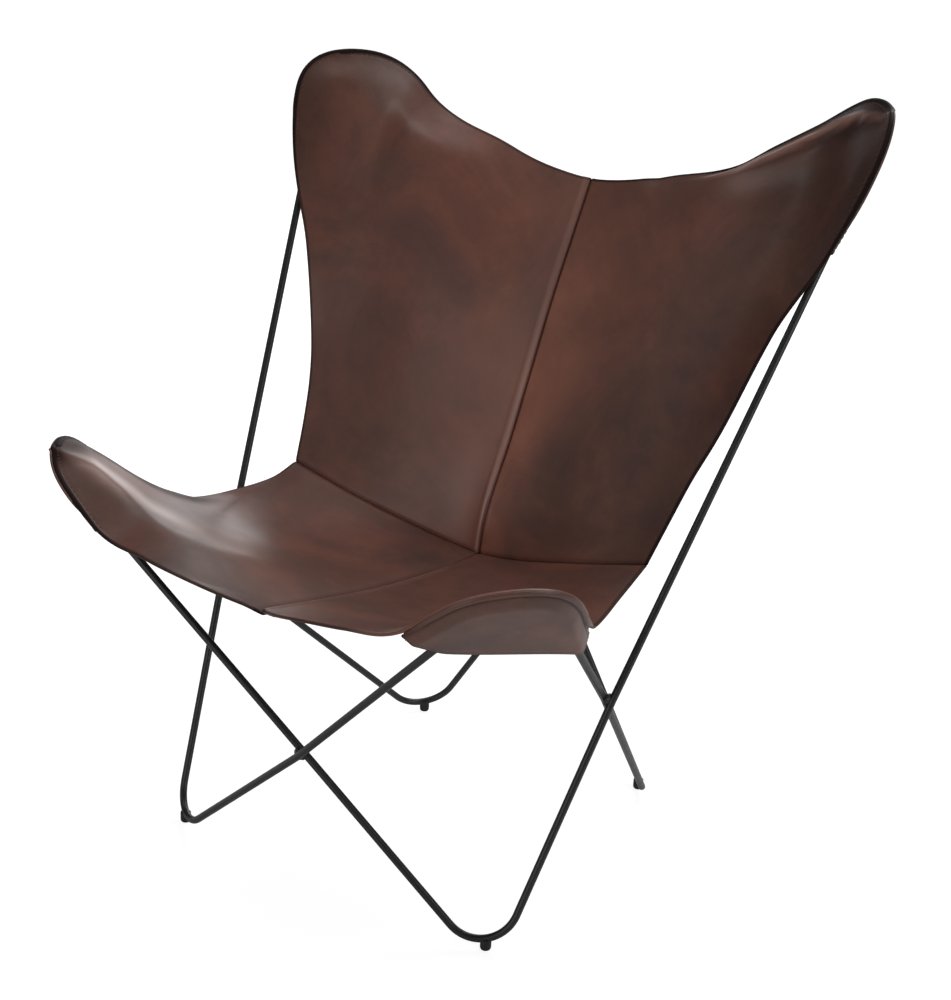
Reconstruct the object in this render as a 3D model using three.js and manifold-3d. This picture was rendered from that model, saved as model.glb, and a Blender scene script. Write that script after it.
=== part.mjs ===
import * as THREE from 'three';
import { mergeVertices } from 'three/addons/utils/BufferGeometryUtils.js';
import Module from 'manifold-3d';

// Butterfly sling chair: two bent steel loops, welded where they cross, carry a leather sling on four horns.
// Millimetres, +Z up, +X to the right of someone facing the chair, the chair's front towards -Y.

// Steel rod and its bends
const rodDiameter = 9;
const footBendRadius = 45;
const frontHornBendRadius = 45;
const backHornBendRadius = 32;
const crossingBendRadius = 160;
const touchGap = 0.3;

// Where the straight rods of the frame would meet, half widths from the mirror plane
const frontFootHalfWidth = 240;
const frontFootY = -228;
const rearFootHalfWidth = 181;
const rearFootY = 228;
const frontHornHalfWidth = 350;
const frontHornY = -368;
const frontHornHeight = 548;
const backHornHalfWidth = 400;
const backHornY = 272;
const backHornHeight = 930;

// How far the welded crossings lie from where straight rods would pass each other: the rods are drawn
// together there
const frontCrossingInset = 6;
const frontCrossingDrop = 27;
const rearCrossingDrop = 20;
const sideCrossingSpread = 4;
const sideCrossingAdvance = 3;
const sideCrossingDrop = 2;

// Weld beads and foot glides
const weldRadius = 8;
const weldHalfThickness = 3.4;
const weldWebThickness = 0.6;
const glideRadius = 6.5;
const glideFlatRadius = 4.5;
const glideHeight = 9.5;
const glideSaddleHeight = 4;
const glideShoulderHeight = 4;

// Leather of the sling
const leatherThickness = 3.6;
const seamTapeHalfWidth = 11;
const seamTapeThickness = 1.6;
const seamTapeGap = 0.6;

// Sling landmarks: seat low point, cross seam end, top edge centre and front edge centre
const lowPointY = 70;
const lowPointHeight = 331;
const crossSeamHalfWidth = 258;
const crossSeamEndY = 26;
const crossSeamEndHeight = 402;
const topCentreY = 281;
const topCentreHeight = 765;
const topEdgeDip = 35;
const frontCentreY = -346;
const frontCentreHeight = 397;

// Horn lobes of the sling
const backHornMargin = 30;
const frontHornMargin = 16;
const backPocketLength = 190;
const frontPocketLength = 150;
const pocketRimWidth = 3;
const pocketWallWidth = 8;

// Counts
const rodSides = 10;
const hornSteps = 8;
const kinkSteps = 3;
const panelColumns = 14;
const panelRows = 18;
const pocketColumns = 12;
const pocketRows = 10;
const weldSides = 18;
const weldRings = 12;
const glideSides = 20;
const glideRings = 4;
const lookupSteps = 160;
const footSettling = 5;

const rodRadius = rodDiameter / 2;
const crossingOffset = rodRadius + touchGap + weldWebThickness / 2;
const lift = rodRadius + leatherThickness / 2 + touchGap;

const wasm = await Module();
wasm.setup();

// Colours from the photograph
const steelPaint = new THREE.MeshStandardMaterial({ color: 0x17171a, roughness: 0.42, metalness: 0.35 });
const glidePlastic = new THREE.MeshStandardMaterial({ color: 0x0d0d0e, roughness: 0.6, metalness: 0 });
const leather = new THREE.MeshStandardMaterial({ color: 0x4a2119, roughness: 0.5, metalness: 0 });
const leatherBack = new THREE.MeshStandardMaterial({ color: 0x5b3425, roughness: 0.85, metalness: 0 });

const vec = (x, y, z) => new THREE.Vector3(x, y, z);
const mirrored = (p) => vec(-p.x, p.y, p.z);
const smooth = (t) => THREE.MathUtils.smoothstep(t, 0, 1);

// A point at shares of the way from one landmark to another, each axis by its own share
function between(from, to, xShare, yShare, zShare) {
  return vec(
    from.x + (to.x - from.x) * xShare,
    from.y + (to.y - from.y) * yShare,
    from.z + (to.z - from.z) * zShare,
  );
}

// A foot's corner, lowered or raised until the middle of its bend rests on a glide of the named height
function footCorner(halfWidth, y, before, after) {
  const corner = vec(halfWidth, y, 0);
  for (let k = 0; k < footSettling; k += 1) {
    corner.z += glideHeight + rodRadius - bendAt(before, corner, after, footBendRadius).middle.z;
  }
  return corner;
}

// The arc that rounds a corner: its centre, ends, middle and turn
function bendAt(before, corner, after, radius) {
  const toBefore = before.clone().sub(corner).normalize();
  const toAfter = after.clone().sub(corner).normalize();
  const half = toBefore.angleTo(toAfter) / 2;
  const bisector = toBefore.clone().add(toAfter).normalize();
  const centre = corner.clone().addScaledVector(bisector, radius / Math.sin(half));
  const reach = radius / Math.tan(half);
  const start = corner.clone().addScaledVector(toBefore, reach);
  const end = corner.clone().addScaledVector(toAfter, reach);
  const normal = toBefore.clone().cross(toAfter).normalize();
  const middle = centre.clone().addScaledVector(bisector, -radius);
  return { centre, start, end, middle, bisector, half, normal, toBefore, toAfter };
}

const frontHorn = vec(frontHornHalfWidth, frontHornY, frontHornHeight);
const backHorn = vec(backHornHalfWidth, backHornY, backHornHeight);
const frontFootPlan = vec(frontFootHalfWidth, frontFootY, 0);
const rearFootPlan = vec(rearFootHalfWidth, rearFootY, 0);

// Halfway between two straight lines, where they pass nearest to each other
function meeting(a, b, c, d) {
  const first = b.clone().sub(a);
  const second = d.clone().sub(c);
  const apart = a.clone().sub(c);
  const [ff, ss, fs] = [first.dot(first), second.dot(second), first.dot(second)];
  const [fa, sa] = [first.dot(apart), second.dot(apart)];
  const divisor = ff * ss - fs * fs;
  const onFirst = a.clone().addScaledVector(first, (fs * sa - ss * fa) / divisor);
  const onSecond = c.clone().addScaledVector(second, (ff * sa - fs * fa) / divisor);
  return onFirst.lerp(onSecond, 0.5);
}

const frontCrossing = meeting(mirrored(frontHorn), frontFootPlan, frontHorn, mirrored(frontFootPlan))
  .add(vec(0, frontCrossingInset, -frontCrossingDrop));
const rearCrossing = meeting(backHorn, mirrored(rearFootPlan), mirrored(backHorn), rearFootPlan)
  .add(vec(0, 0, -rearCrossingDrop));
const sideCrossing = meeting(backHorn, frontFootPlan, frontHorn, rearFootPlan)
  .add(vec(sideCrossingSpread, -sideCrossingAdvance, -sideCrossingDrop));

// The direction square to both rods at a crossing, turned to point along the given way
function crossingNormal(a, b, c, d, towards) {
  const normal = b.clone().sub(a).cross(d.clone().sub(c)).normalize();
  return normal.dot(towards) < 0 ? normal.negate() : normal;
}

const frontNormal = crossingNormal(
  mirrored(frontHorn), frontFootPlan, frontHorn, mirrored(frontFootPlan), vec(0, -1, 0),
);
const rearNormal = crossingNormal(
  backHorn, mirrored(rearFootPlan), mirrored(backHorn), rearFootPlan, vec(0, 1, 0),
);
const sideNormal = crossingNormal(backHorn, frontFootPlan, frontHorn, rearFootPlan, vec(1, 0, 0));
const beside = (p, normal, sign) => p.clone().addScaledVector(normal, sign * crossingOffset);

// One loop as its corners in order, each with a bend radius and a number of steps.
// The loop passes outside the other one at its front foot's side of the chair and inside on the far side.
function loopCorners(side, frontSign, rearSign) {
  const place = (p) => (side > 0 ? p.clone() : mirrored(p));
  const across = (p) => place(mirrored(p));
  const front = place(beside(frontCrossing, frontNormal, frontSign));
  const rear = place(beside(rearCrossing, rearNormal, rearSign));
  const outer = beside(sideCrossing, sideNormal, 1);
  const inner = beside(sideCrossing, sideNormal, -1);
  const frontFoot = footCorner(frontFootHalfWidth, frontFootY, front, outer);
  const rearFoot = footCorner(rearFootHalfWidth, rearFootY, rear, inner);
  const kink = (at) => ({ at, radius: crossingBendRadius, steps: kinkSteps });
  return [
    { at: across(frontHorn), radius: frontHornBendRadius, steps: hornSteps },
    kink(front),
    { at: place(frontFoot), radius: footBendRadius, steps: hornSteps, foot: 'front' },
    kink(place(outer)),
    { at: place(backHorn), radius: backHornBendRadius, steps: hornSteps },
    kink(rear),
    { at: across(rearFoot), radius: footBendRadius, steps: hornSteps, foot: 'rear' },
    kink(across(inner)),
  ];
}

// Centreline points of a closed loop with every corner rounded
function roundedLoop(corners) {
  const points = [];
  corners.forEach((corner, i) => {
    const before = corners[(i + corners.length - 1) % corners.length].at;
    const after = corners[(i + 1) % corners.length].at;
    const bend = bendAt(before, corner.at, after, corner.radius);
    const from = bend.start.clone().sub(bend.centre);
    const turn = Math.PI - 2 * bend.half;
    const axis = from.clone().cross(bend.end.clone().sub(bend.centre)).normalize();
    for (let k = 0; k <= corner.steps; k += 1) {
      const arm = from.clone().applyAxisAngle(axis, (turn * k) / corner.steps);
      points.push(bend.centre.clone().add(arm));
    }
  });
  return points;
}

// Round bar swept along a closed centreline; the twist left at the end is shared out along it
function closedBar(points, radius, sides) {
  const count = points.length;
  const tangents = points.map((p, i) => {
    const ahead = points[(i + 1) % count].clone().sub(p).normalize();
    const behind = p.clone().sub(points[(i + count - 1) % count]).normalize();
    return ahead.add(behind).normalize();
  });
  const carry = (from, tangent) => from.clone().addScaledVector(tangent, -from.dot(tangent)).normalize();
  const normals = [carry(vec(0, 0, 1), tangents[0])];
  for (let i = 1; i < count; i += 1) normals.push(carry(normals[i - 1], tangents[i]));
  const last = carry(normals[count - 1], tangents[0]);
  const side = tangents[0].clone().cross(normals[0]);
  const twist = Math.atan2(last.dot(side), last.dot(normals[0]));
  const positions = [];
  for (let i = 0; i < count; i += 1) {
    const binormal = tangents[i].clone().cross(normals[i]);
    for (let k = 0; k < sides; k += 1) {
      const angle = (2 * Math.PI * k) / sides - (twist * i) / count;
      const p = points[i].clone();
      p.addScaledVector(normals[i], radius * Math.cos(angle));
      p.addScaledVector(binormal, radius * Math.sin(angle));
      positions.push(p.x, p.y, p.z);
    }
  }
  const index = [];
  for (let i = 0; i < count; i += 1) {
    for (let k = 0; k < sides; k += 1) {
      const a = i * sides + k;
      const b = i * sides + ((k + 1) % sides);
      const c = ((i + 1) % count) * sides + k;
      const d = ((i + 1) % count) * sides + ((k + 1) % sides);
      index.push(a, b, d, a, d, c);
    }
  }
  return indexed(positions, index);
}

function indexed(positions, index) {
  const geometry = new THREE.BufferGeometry();
  geometry.setAttribute('position', new THREE.Float32BufferAttribute(positions, 3));
  geometry.setIndex(index);
  return geometry;
}

// Booleans: a closed geometry as a solid and back
function solidOf(geometry) {
  const bare = geometry.clone();
  bare.deleteAttribute('normal');
  bare.deleteAttribute('uv');
  const merged = mergeVertices(bare);
  const vertProperties = new Float32Array(merged.attributes.position.array);
  const triVerts = new Uint32Array(merged.index.array);
  return new wasm.Manifold(new wasm.Mesh({ numProp: 3, vertProperties, triVerts }));
}

function geometryOf(solid) {
  const mesh = solid.getMesh();
  return indexed(Array.from(mesh.vertProperties), Array.from(mesh.triVerts));
}

// Foot glide: a small dome under the bend, saddled to the rod and flat where it stands
function glideGeometry(rest) {
  const saddleTop = rest.z - rodRadius + glideSaddleHeight;
  const profile = [new THREE.Vector2(0, 0), new THREE.Vector2(glideFlatRadius, 0)];
  for (let k = 1; k <= glideRings; k += 1) {
    const angle = (Math.PI / 2) * (k / glideRings);
    const radius = glideFlatRadius + (glideRadius - glideFlatRadius) * Math.sin(angle);
    profile.push(new THREE.Vector2(radius, glideShoulderHeight * (1 - Math.cos(angle))));
  }
  profile.push(new THREE.Vector2(glideRadius, saddleTop), new THREE.Vector2(0, saddleTop));
  const geometry = new THREE.LatheGeometry(profile, glideSides);
  geometry.rotateX(Math.PI / 2);
  geometry.translate(rest.x, rest.y, 0);
  return geometry;
}

// Weld bead: a flattened ball between the crossing rods, with both rods taken out of it
function weldGeometry(centre, normal) {
  const geometry = new THREE.SphereGeometry(1, weldSides, weldRings);
  geometry.scale(weldRadius, weldRadius, weldHalfThickness);
  geometry.applyQuaternion(new THREE.Quaternion().setFromUnitVectors(vec(0, 0, 1), normal));
  geometry.translate(centre.x, centre.y, centre.z);
  return geometry;
}

// A horn's own axes: along its bisector, across towards the chair's side edge, and out of the sling
function hornAxes(corner, sidePoint, innerPoint, bendRadius, margin, outwardHint) {
  const bend = bendAt(sidePoint, corner, innerPoint, bendRadius);
  const out = bend.normal.clone();
  if (out.dot(outwardHint) < 0) out.negate();
  const across = bend.toBefore.clone().sub(bend.toAfter).normalize();
  const tip = bend.middle.clone().sub(corner).dot(bend.bisector) - rodRadius - margin;
  return { corner, along: bend.bisector, across, out, tip, bend };
}

function hornPoint(horn, along, across, outward) {
  return horn.corner.clone()
    .addScaledVector(horn.along, along)
    .addScaledVector(horn.across, across)
    .addScaledVector(horn.out, outward);
}

// Lobe outlines from the tip, as shares of the pocket length: along, across and away from the rods
const backSideShares = [
  [0.06, 0.17, 0], [0.17, 0.28, 0], [0.35, 0.34, 0], [0.65, 0.385, 0], [1, 0.385, 0.01],
];
const backTopShares = [[0.03, -0.2, 0], [0.12, -0.385, 0.02], [0.26, -0.51, 0.1]];
const frontSideShares = [[0.05, 0.24, 0], [0.15, 0.39, 0], [0.35, 0.52, 0.01], [0.7, 0.62, 0.05]];
const frontTopShares = [[0.04, -0.27, 0], [0.13, -0.43, 0], [0.3, -0.57, 0], [0.52, -0.73, 0]];

// Seams and edges of the right half, as shares of the way between their landmarks
const backSeamShares = [[0.05, 0.11], [0.275, 0.311], [0.46, 0.5], [0.65, 0.694], [0.87, 0.889]];
const seatSeamShares = [[0.2, 0.085], [0.43, 0.26], [0.69, 0.565]];
const crossSeamShares = [[0.2, 0.14, 0.11], [0.655, 0.8, 0.63]];
const backEdgeShares = [[0.1, 0.226, 0.15], [0.21, 0.427, 0.296], [0.36, 0.605, 0.44], [0.75, 0.887, 0.806]];
const seatEdgeShares = [[0.06, 0.2, -0.3], [0.48, 0.7, -0.19], [0.75, 0.87, 0.4]];
const topEdgeShares = [[0.25, 0.17, 0.42], [0.46, 0.383, 0.65], [0.663, 0.585, 1], [0.82, 0.755, 0.74]];
const frontEdgeShares = [[0.17, 0.6, 0.23], [0.43, 1.2, 0.55], [0.67, 1.18, 0.66], [0.86, 1, 0.74]];

// Where the pocket mouths meet the sling's edges, and where a pocket's last row crosses its tip
const backMouthShares = [0.68, 0.7];
const frontMouthShares = [0.51, 0.58];
const tipShare = 0.985;
const rimOverrunShare = 0.1;
const tapeEndShare = 0.97;
const tapeClearanceFactor = 1.2;

const curveThrough = (points) => new THREE.CatmullRomCurve3(points, false, 'centripetal');
const lowPoint = vec(0, lowPointY, lowPointHeight);
const crossEnd = vec(crossSeamHalfWidth, crossSeamEndY, crossSeamEndHeight);
const topCentre = vec(0, topCentreY, topCentreHeight);
const frontCentre = vec(0, frontCentreY, frontCentreHeight);

const backSeam = curveThrough([
  lowPoint,
  ...backSeamShares.map(([yShare, zShare]) => between(lowPoint, topCentre, 0, yShare, zShare)),
  topCentre,
]);
const seatSeam = curveThrough([
  lowPoint,
  ...seatSeamShares.map(([yShare, zShare]) => between(lowPoint, frontCentre, 0, yShare, zShare)),
  frontCentre,
]);
const crossSeam = curveThrough([
  lowPoint,
  ...crossSeamShares.map((shares) => between(lowPoint, crossEnd, ...shares)),
  crossEnd,
]);

function lobePoints(horn, shares, pocketLength) {
  return shares.map(([alongShare, acrossShare, awayShare]) => hornPoint(
    horn,
    horn.tip + alongShare * pocketLength,
    acrossShare * pocketLength,
    -lift - awayShare * pocketLength,
  ));
}

// An edge from a landmark, by shares of the way to its lobe, then round the lobe to the tip
function lobeEdge(start, shares, lobe, tip, dip) {
  const first = lobe[lobe.length - 1];
  return curveThrough([
    start,
    ...shares.map(([xShare, yShare, zShare]) => {
      if (dip === undefined) return between(start, first, xShare, yShare, zShare);
      const point = between(start, first, xShare, xShare, yShare);
      point.y -= zShare * dip;
      return point;
    }),
    ...lobe.slice().reverse(),
    tip,
  ]);
}

// A leather patch from its four borders: u runs from the centre seam to the side edge, v away from the
// cross seam
function coonsPatch(seam, edge, nearBorder, farBorder) {
  const corners = [nearBorder, farBorder].flatMap((border) => [border.getPointAt(0), border.getPointAt(1)]);
  return (u, v) => {
    const point = seam.getPointAt(v).multiplyScalar(1 - u).addScaledVector(edge.getPointAt(v), u);
    point.addScaledVector(nearBorder.getPointAt(u), 1 - v).addScaledVector(farBorder.getPointAt(u), v);
    const weights = [(1 - u) * (1 - v), u * (1 - v), (1 - u) * v, u * v];
    corners.forEach((corner, k) => point.addScaledVector(corner, -weights[k]));
    return point;
  };
}

// Where a patch lies over the rods of its horn, it rests on them instead of cutting through
function restingOn(horn, pocketLength, patch) {
  return (u, v) => {
    const point = patch(u, v);
    const local = point.clone().sub(horn.corner);
    const outward = local.dot(horn.out);
    const fade = 1 - smooth((local.dot(horn.along) - horn.tip) / pocketLength - 1);
    if (outward > -lift) point.addScaledVector(horn.out, (-lift - outward) * fade);
    return point;
  };
}

// The patch's normal from small steps that stay inside it
const normalStep = 0.02;
function patchNormal(patch, u, v, sign) {
  const [u0, u1] = [Math.max(u - normalStep, 0), Math.min(u + normalStep, 1)];
  const [v0, v1] = [Math.max(v - normalStep, 0), Math.min(v + normalStep, 1)];
  const alongU = patch(u1, v).sub(patch(u0, v));
  const alongV = patch(u, v1).sub(patch(u, v0));
  const normal = alongU.cross(alongV).multiplyScalar(sign);
  if (u === 0) normal.setX(0);
  return normal.normalize();
}

// The right half of the sling on its own pair of horns; the left half is made the same way, then mirrored
function halfSling(rearSign, frontSign) {
  const sideOuter = beside(sideCrossing, sideNormal, 1);
  const sideInner = beside(sideCrossing, sideNormal, -1);
  const rear = beside(rearCrossing, rearNormal, rearSign);
  const front = beside(frontCrossing, frontNormal, frontSign);
  const backAxes = hornAxes(backHorn, sideOuter, rear, backHornBendRadius, backHornMargin, vec(1, 1, 0));
  const frontAxes = hornAxes(
    frontHorn, sideInner, front, frontHornBendRadius, frontHornMargin, vec(1, -1, 0),
  );
  const backTip = hornPoint(backAxes, backAxes.tip, 0, -lift);
  const frontTip = hornPoint(frontAxes, frontAxes.tip, 0, -lift);
  const backEdge = lobeEdge(
    crossEnd, backEdgeShares, lobePoints(backAxes, backSideShares, backPocketLength), backTip,
  );
  const topEdge = lobeEdge(
    topCentre, topEdgeShares, lobePoints(backAxes, backTopShares, backPocketLength), backTip, topEdgeDip,
  );
  const seatEdge = lobeEdge(
    crossEnd, seatEdgeShares, lobePoints(frontAxes, frontSideShares, frontPocketLength), frontTip,
  );
  const frontEdge = lobeEdge(
    frontCentre, frontEdgeShares, lobePoints(frontAxes, frontTopShares, frontPocketLength), frontTip,
  );
  const backSheet = coonsPatch(backSeam, backEdge, crossSeam, topEdge);
  const seatSheet = coonsPatch(seatSeam, seatEdge, crossSeam, frontEdge);
  const backPatch = restingOn(backAxes, backPocketLength, backSheet);
  const seatPatch = restingOn(frontAxes, frontPocketLength, seatSheet);
  return {
    backAxes,
    frontAxes,
    backEdge,
    topEdge,
    seatEdge,
    frontEdge,
    backPatch,
    seatPatch,
    backNormal: (u, v) => patchNormal(backPatch, u, v, 1),
    seatNormal: (u, v) => patchNormal(seatPatch, u, v, -1),
  };
}

// A sheet as a closed solid: a grid of middle points and, at each, the vector to its upper face
function sheetSolid(rows, offsets) {
  const rowCount = rows.length;
  const columnCount = rows[0].length;
  const positions = [];
  [1, -1].forEach((face) => {
    for (let j = 0; j < rowCount; j += 1) {
      for (let i = 0; i < columnCount; i += 1) {
        const p = rows[j][i].clone().addScaledVector(offsets[j][i], face);
        positions.push(p.x, p.y, p.z);
      }
    }
  });
  const index = [];
  const size = rowCount * columnCount;
  const at = (j, i) => j * columnCount + i;
  for (let j = 0; j < rowCount - 1; j += 1) {
    for (let i = 0; i < columnCount - 1; i += 1) {
      const [a, b, c, d] = [at(j, i), at(j, i + 1), at(j + 1, i + 1), at(j + 1, i)];
      index.push(a, b, c, a, c, d);
      index.push(size + a, size + c, size + b, size + a, size + d, size + c);
    }
  }
  const wall = (a, b) => index.push(a, size + a, size + b, a, size + b, b);
  for (let i = 0; i < columnCount - 1; i += 1) {
    wall(at(0, i), at(0, i + 1));
    wall(at(rowCount - 1, i + 1), at(rowCount - 1, i));
  }
  for (let j = 0; j < rowCount - 1; j += 1) {
    wall(at(j + 1, 0), at(j, 0));
    wall(at(j, columnCount - 1), at(j + 1, columnCount - 1));
  }
  const geometry = indexed(positions, index);
  return volumeOf(geometry) < 0 ? flipped(geometry) : geometry;
}

function volumeOf(geometry) {
  const position = geometry.attributes.position;
  const index = geometry.index.array;
  const corner = (k) => new THREE.Vector3().fromBufferAttribute(position, index[k]);
  let sum = 0;
  for (let k = 0; k < index.length; k += 3) sum += corner(k).dot(corner(k + 1).cross(corner(k + 2)));
  return sum / 6;
}

function flipped(geometry) {
  const index = Array.from(geometry.index.array);
  for (let k = 0; k < index.length; k += 3) [index[k + 1], index[k + 2]] = [index[k + 2], index[k + 1]];
  return indexed(Array.from(geometry.attributes.position.array), index);
}

// Mitre along the cross seam, shared by the back and the seat so that their edges meet face to face
function crossMitre(half, u) {
  const seat = half.seatNormal(u, 0);
  const mitre = half.backNormal(u, 0).add(seat).normalize();
  return mitre.multiplyScalar(1 / mitre.dot(seat));
}

// A panel's grid of middle points and unit thickness vectors; its seams stand back by half the touching gap
function panelGrid(half, patch, normalAt) {
  const points = [];
  const normals = [];
  for (let j = 0; j <= panelRows; j += 1) {
    const v = j / panelRows;
    points.push([]);
    normals.push([]);
    for (let i = 0; i <= panelColumns; i += 1) {
      const u = i / panelColumns;
      const point = patch(u, v);
      if (i === 0) point.x += touchGap / 2;
      if (j === 0) point.addScaledVector(patch(u, 1 / panelRows).sub(patch(u, 0)).normalize(), touchGap);
      points[j].push(point);
      normals[j].push(j === 0 ? crossMitre(half, u) : normalAt(u, v));
    }
  }
  return { points, normals };
}

function panelSolid({ points, normals }) {
  const offsets = normals.map((row) => row.map((n) => n.clone().multiplyScalar(leatherThickness / 2)));
  return sheetSolid(points, offsets);
}

// A point on a panel's flat facets, by row and column counted from its seams, with its thickness vector
function onGrid(grid, row, column) {
  const [j, i] = [Math.min(Math.floor(row), panelRows - 1), Math.min(Math.floor(column), panelColumns - 1)];
  const mix = (table) => {
    const near = table[j][i].clone().lerp(table[j][i + 1], column - i);
    return near.lerp(table[j + 1][i].clone().lerp(table[j + 1][i + 1], column - i), row - j);
  };
  return [mix(grid.points), mix(grid.normals)];
}

// Pocket flap: sewn under the lobe's rim and carried round the outside of the rods down to its mouth,
// which runs between the given shares of the side edge and of the top or front edge
function pocketSolid(horn, sideCurve, farCurve, patch, normalAt, [sideMouthShare, farMouthShare]) {
  const under = leatherThickness + touchGap;
  const flat = (p) => {
    const local = p.clone().sub(horn.corner);
    return new THREE.Vector2(local.dot(horn.along), local.dot(horn.across));
  };
  const sewn = (curve, share, normal) => curve.getPointAt(share).addScaledVector(normal, -under);
  const rim = [];
  for (let k = 0; k <= lookupSteps; k += 1) {
    [[sideCurve, sideMouthShare], [farCurve, farMouthShare]].forEach(([curve, share]) => {
      rim.push(flat(curve.getPointAt(THREE.MathUtils.lerp(share - rimOverrunShare, 1, k / lookupSteps))));
    });
  }
  const rimDistance = (q) => rim.reduce((least, p) => Math.min(least, p.distanceTo(q)), Infinity);
  const rows = [];
  for (let j = 0; j <= pocketRows; j += 1) {
    const sideShare = THREE.MathUtils.lerp(sideMouthShare, tipShare, j / pocketRows);
    const farShare = THREE.MathUtils.lerp(farMouthShare, tipShare, j / pocketRows);
    const a = sewn(sideCurve, sideShare, normalAt(1, sideShare));
    const b = sewn(farCurve, farShare, normalAt(farShare, 1));
    const row = [];
    for (let i = 0; i <= pocketColumns; i += 1) {
      const across = 0.5 - 0.5 * Math.cos((Math.PI * i) / pocketColumns);
      const point = a.clone().lerp(b, across);
      const level = point.clone().sub(horn.corner).dot(horn.out);
      const wrap = smooth((rimDistance(flat(point)) - pocketRimWidth) / pocketWallWidth);
      row.push(point.addScaledVector(horn.out, (lift - level) * wrap));
    }
    rows.push(row);
  }
  return sheetSolid(rows, gridOffsets(rows, leatherThickness / 2));
}

// Face vectors of a grid from its own neighbours
function gridOffsets(rows, halfThickness) {
  const lastRow = rows.length - 1;
  const lastColumn = rows[0].length - 1;
  return rows.map((row, j) => row.map((point, i) => {
    const alongU = row[Math.min(i + 1, lastColumn)].clone().sub(row[Math.max(i - 1, 0)]);
    const alongV = rows[Math.min(j + 1, lastRow)][i].clone().sub(rows[Math.max(j - 1, 0)][i]);
    return alongU.cross(alongV).normalize().multiplyScalar(halfThickness);
  }));
}

// Seam tape: a strip laid on the underside of the leather, given as rows of points with their normals
function tapeSolid(stations) {
  const drop = leatherThickness / 2 + seamTapeGap + seamTapeThickness / 2;
  const rows = stations.map((row) => row.map(([p, n]) => p.clone().addScaledVector(n, -drop)));
  const offsets = stations.map((row) => row.map(([, n]) => n.clone().multiplyScalar(seamTapeThickness / 2)));
  return sheetSolid(rows, offsets);
}

const mirroredPair = ([p, n]) => [mirrored(p), mirrored(n)];
const middleOf = ([p, n], [q, m]) => [p.clone().lerp(q, 0.5), n.clone().lerp(m, 0.5)];

// Tape behind a centre seam, its ends as row counts from the cross seam
function centreTape(name, fromRow, toRow) {
  const rows = [fromRow];
  for (let j = Math.floor(fromRow) + 1; j < toRow; j += 1) rows.push(j);
  rows.push(toRow);
  const stations = rows.map((row) => {
    const sideOf = (half) => {
      const near = onGrid(half[name], row, 0);
      const column = seamTapeHalfWidth / near[0].distanceTo(onGrid(half[name], row, 1)[0]);
      return [near, onGrid(half[name], row, column)];
    };
    const [right, left] = [sideOf(rightHalf), sideOf(leftHalf).map(mirroredPair)];
    return [left[1], middleOf(left[0], right[0]), right[1]];
  });
  return tapeSolid(stations);
}

// Tape behind the cross seam, from the left side edge to the right one
function crossTape() {
  const stations = [];
  for (let k = -panelColumns; k <= panelColumns; k += 1) {
    const half = k < 0 ? leftHalf : rightHalf;
    const column = Math.min(Math.abs(k), panelColumns * tapeEndShare);
    const pairOf = (grid) => {
      const near = onGrid(grid, 0, column);
      const row = seamTapeHalfWidth / near[0].distanceTo(onGrid(grid, 1, column)[0]);
      return [near, onGrid(grid, row, column)];
    };
    const [back, seat] = [pairOf(half.back), pairOf(half.seat)];
    const station = [back[1], middleOf(back[0], seat[0]), seat[1]];
    stations.push(k < 0 ? station.map(mirroredPair) : station);
  }
  return tapeSolid(stations);
}

const chair = new THREE.Group();

function addMesh(name, geometry, material) {
  geometry.computeVertexNormals();
  const mesh = new THREE.Mesh(geometry, material);
  mesh.name = name;
  chair.add(mesh);
}

function mirrorGeometry(geometry) {
  const copy = geometry.clone();
  copy.scale(-1, 1, 1);
  return flipped(copy);
}

// Frame: the right-hand loop stands on the right front foot, the left-hand loop on the left one
const loops = [
  { side: 'right', sign: 1, corners: loopCorners(1, -1, 1) },
  { side: 'left', sign: -1, corners: loopCorners(-1, 1, -1) },
];
loops.forEach((loop) => {
  loop.points = roundedLoop(loop.corners);
  addMesh(`frame_loop_${loop.side}`, closedBar(loop.points, rodRadius, rodSides), steelPaint);
});
const bars = loops.map((loop) => solidOf(closedBar(loop.points, rodRadius + touchGap, rodSides)));
const withoutBars = (geometry) => geometryOf(solidOf(geometry).subtract(bars[0]).subtract(bars[1]));

[
  ['weld_front', frontCrossing, frontNormal],
  ['weld_rear', rearCrossing, rearNormal],
  ['weld_right', sideCrossing, sideNormal],
  ['weld_left', mirrored(sideCrossing), mirrored(sideNormal)],
].forEach(([name, centre, normal]) => addMesh(name, withoutBars(weldGeometry(centre, normal)), steelPaint));

// A loop's front foot is on its own side of the chair and its rear foot on the other side
loops.forEach((loop) => loop.corners.forEach((corner, i) => {
  if (!corner.foot) return;
  const bend = bendAt(loop.corners[i - 1].at, corner.at, loop.corners[i + 1].at, corner.radius);
  const side = bend.middle.x > 0 ? 'right' : 'left';
  addMesh(`glide_${corner.foot}_${side}`, withoutBars(glideGeometry(bend.middle)), glidePlastic);
}));

// Sling: panels and pockets of each half, then the tapes that back the seams
const rightHalf = halfSling(1, 1);
const leftHalf = halfSling(-1, -1);
[['right', rightHalf], ['left', leftHalf]].forEach(([side, half]) => {
  const { backPatch, seatPatch, backNormal, seatNormal } = half;
  half.back = panelGrid(half, backPatch, backNormal);
  half.seat = panelGrid(half, seatPatch, seatNormal);
  const pieces = [
    ['back_panel', panelSolid(half.back)],
    ['seat_panel', panelSolid(half.seat)],
    ['back_horn_pocket',
      pocketSolid(half.backAxes, half.backEdge, half.topEdge, backPatch, backNormal, backMouthShares)],
    ['front_horn_pocket',
      pocketSolid(half.frontAxes, half.seatEdge, half.frontEdge, seatPatch, seatNormal, frontMouthShares)],
  ];
  pieces.forEach(([name, geometry]) => {
    addMesh(`${name}_${side}`, side === 'right' ? geometry : mirrorGeometry(geometry), leather);
  });
});
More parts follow.
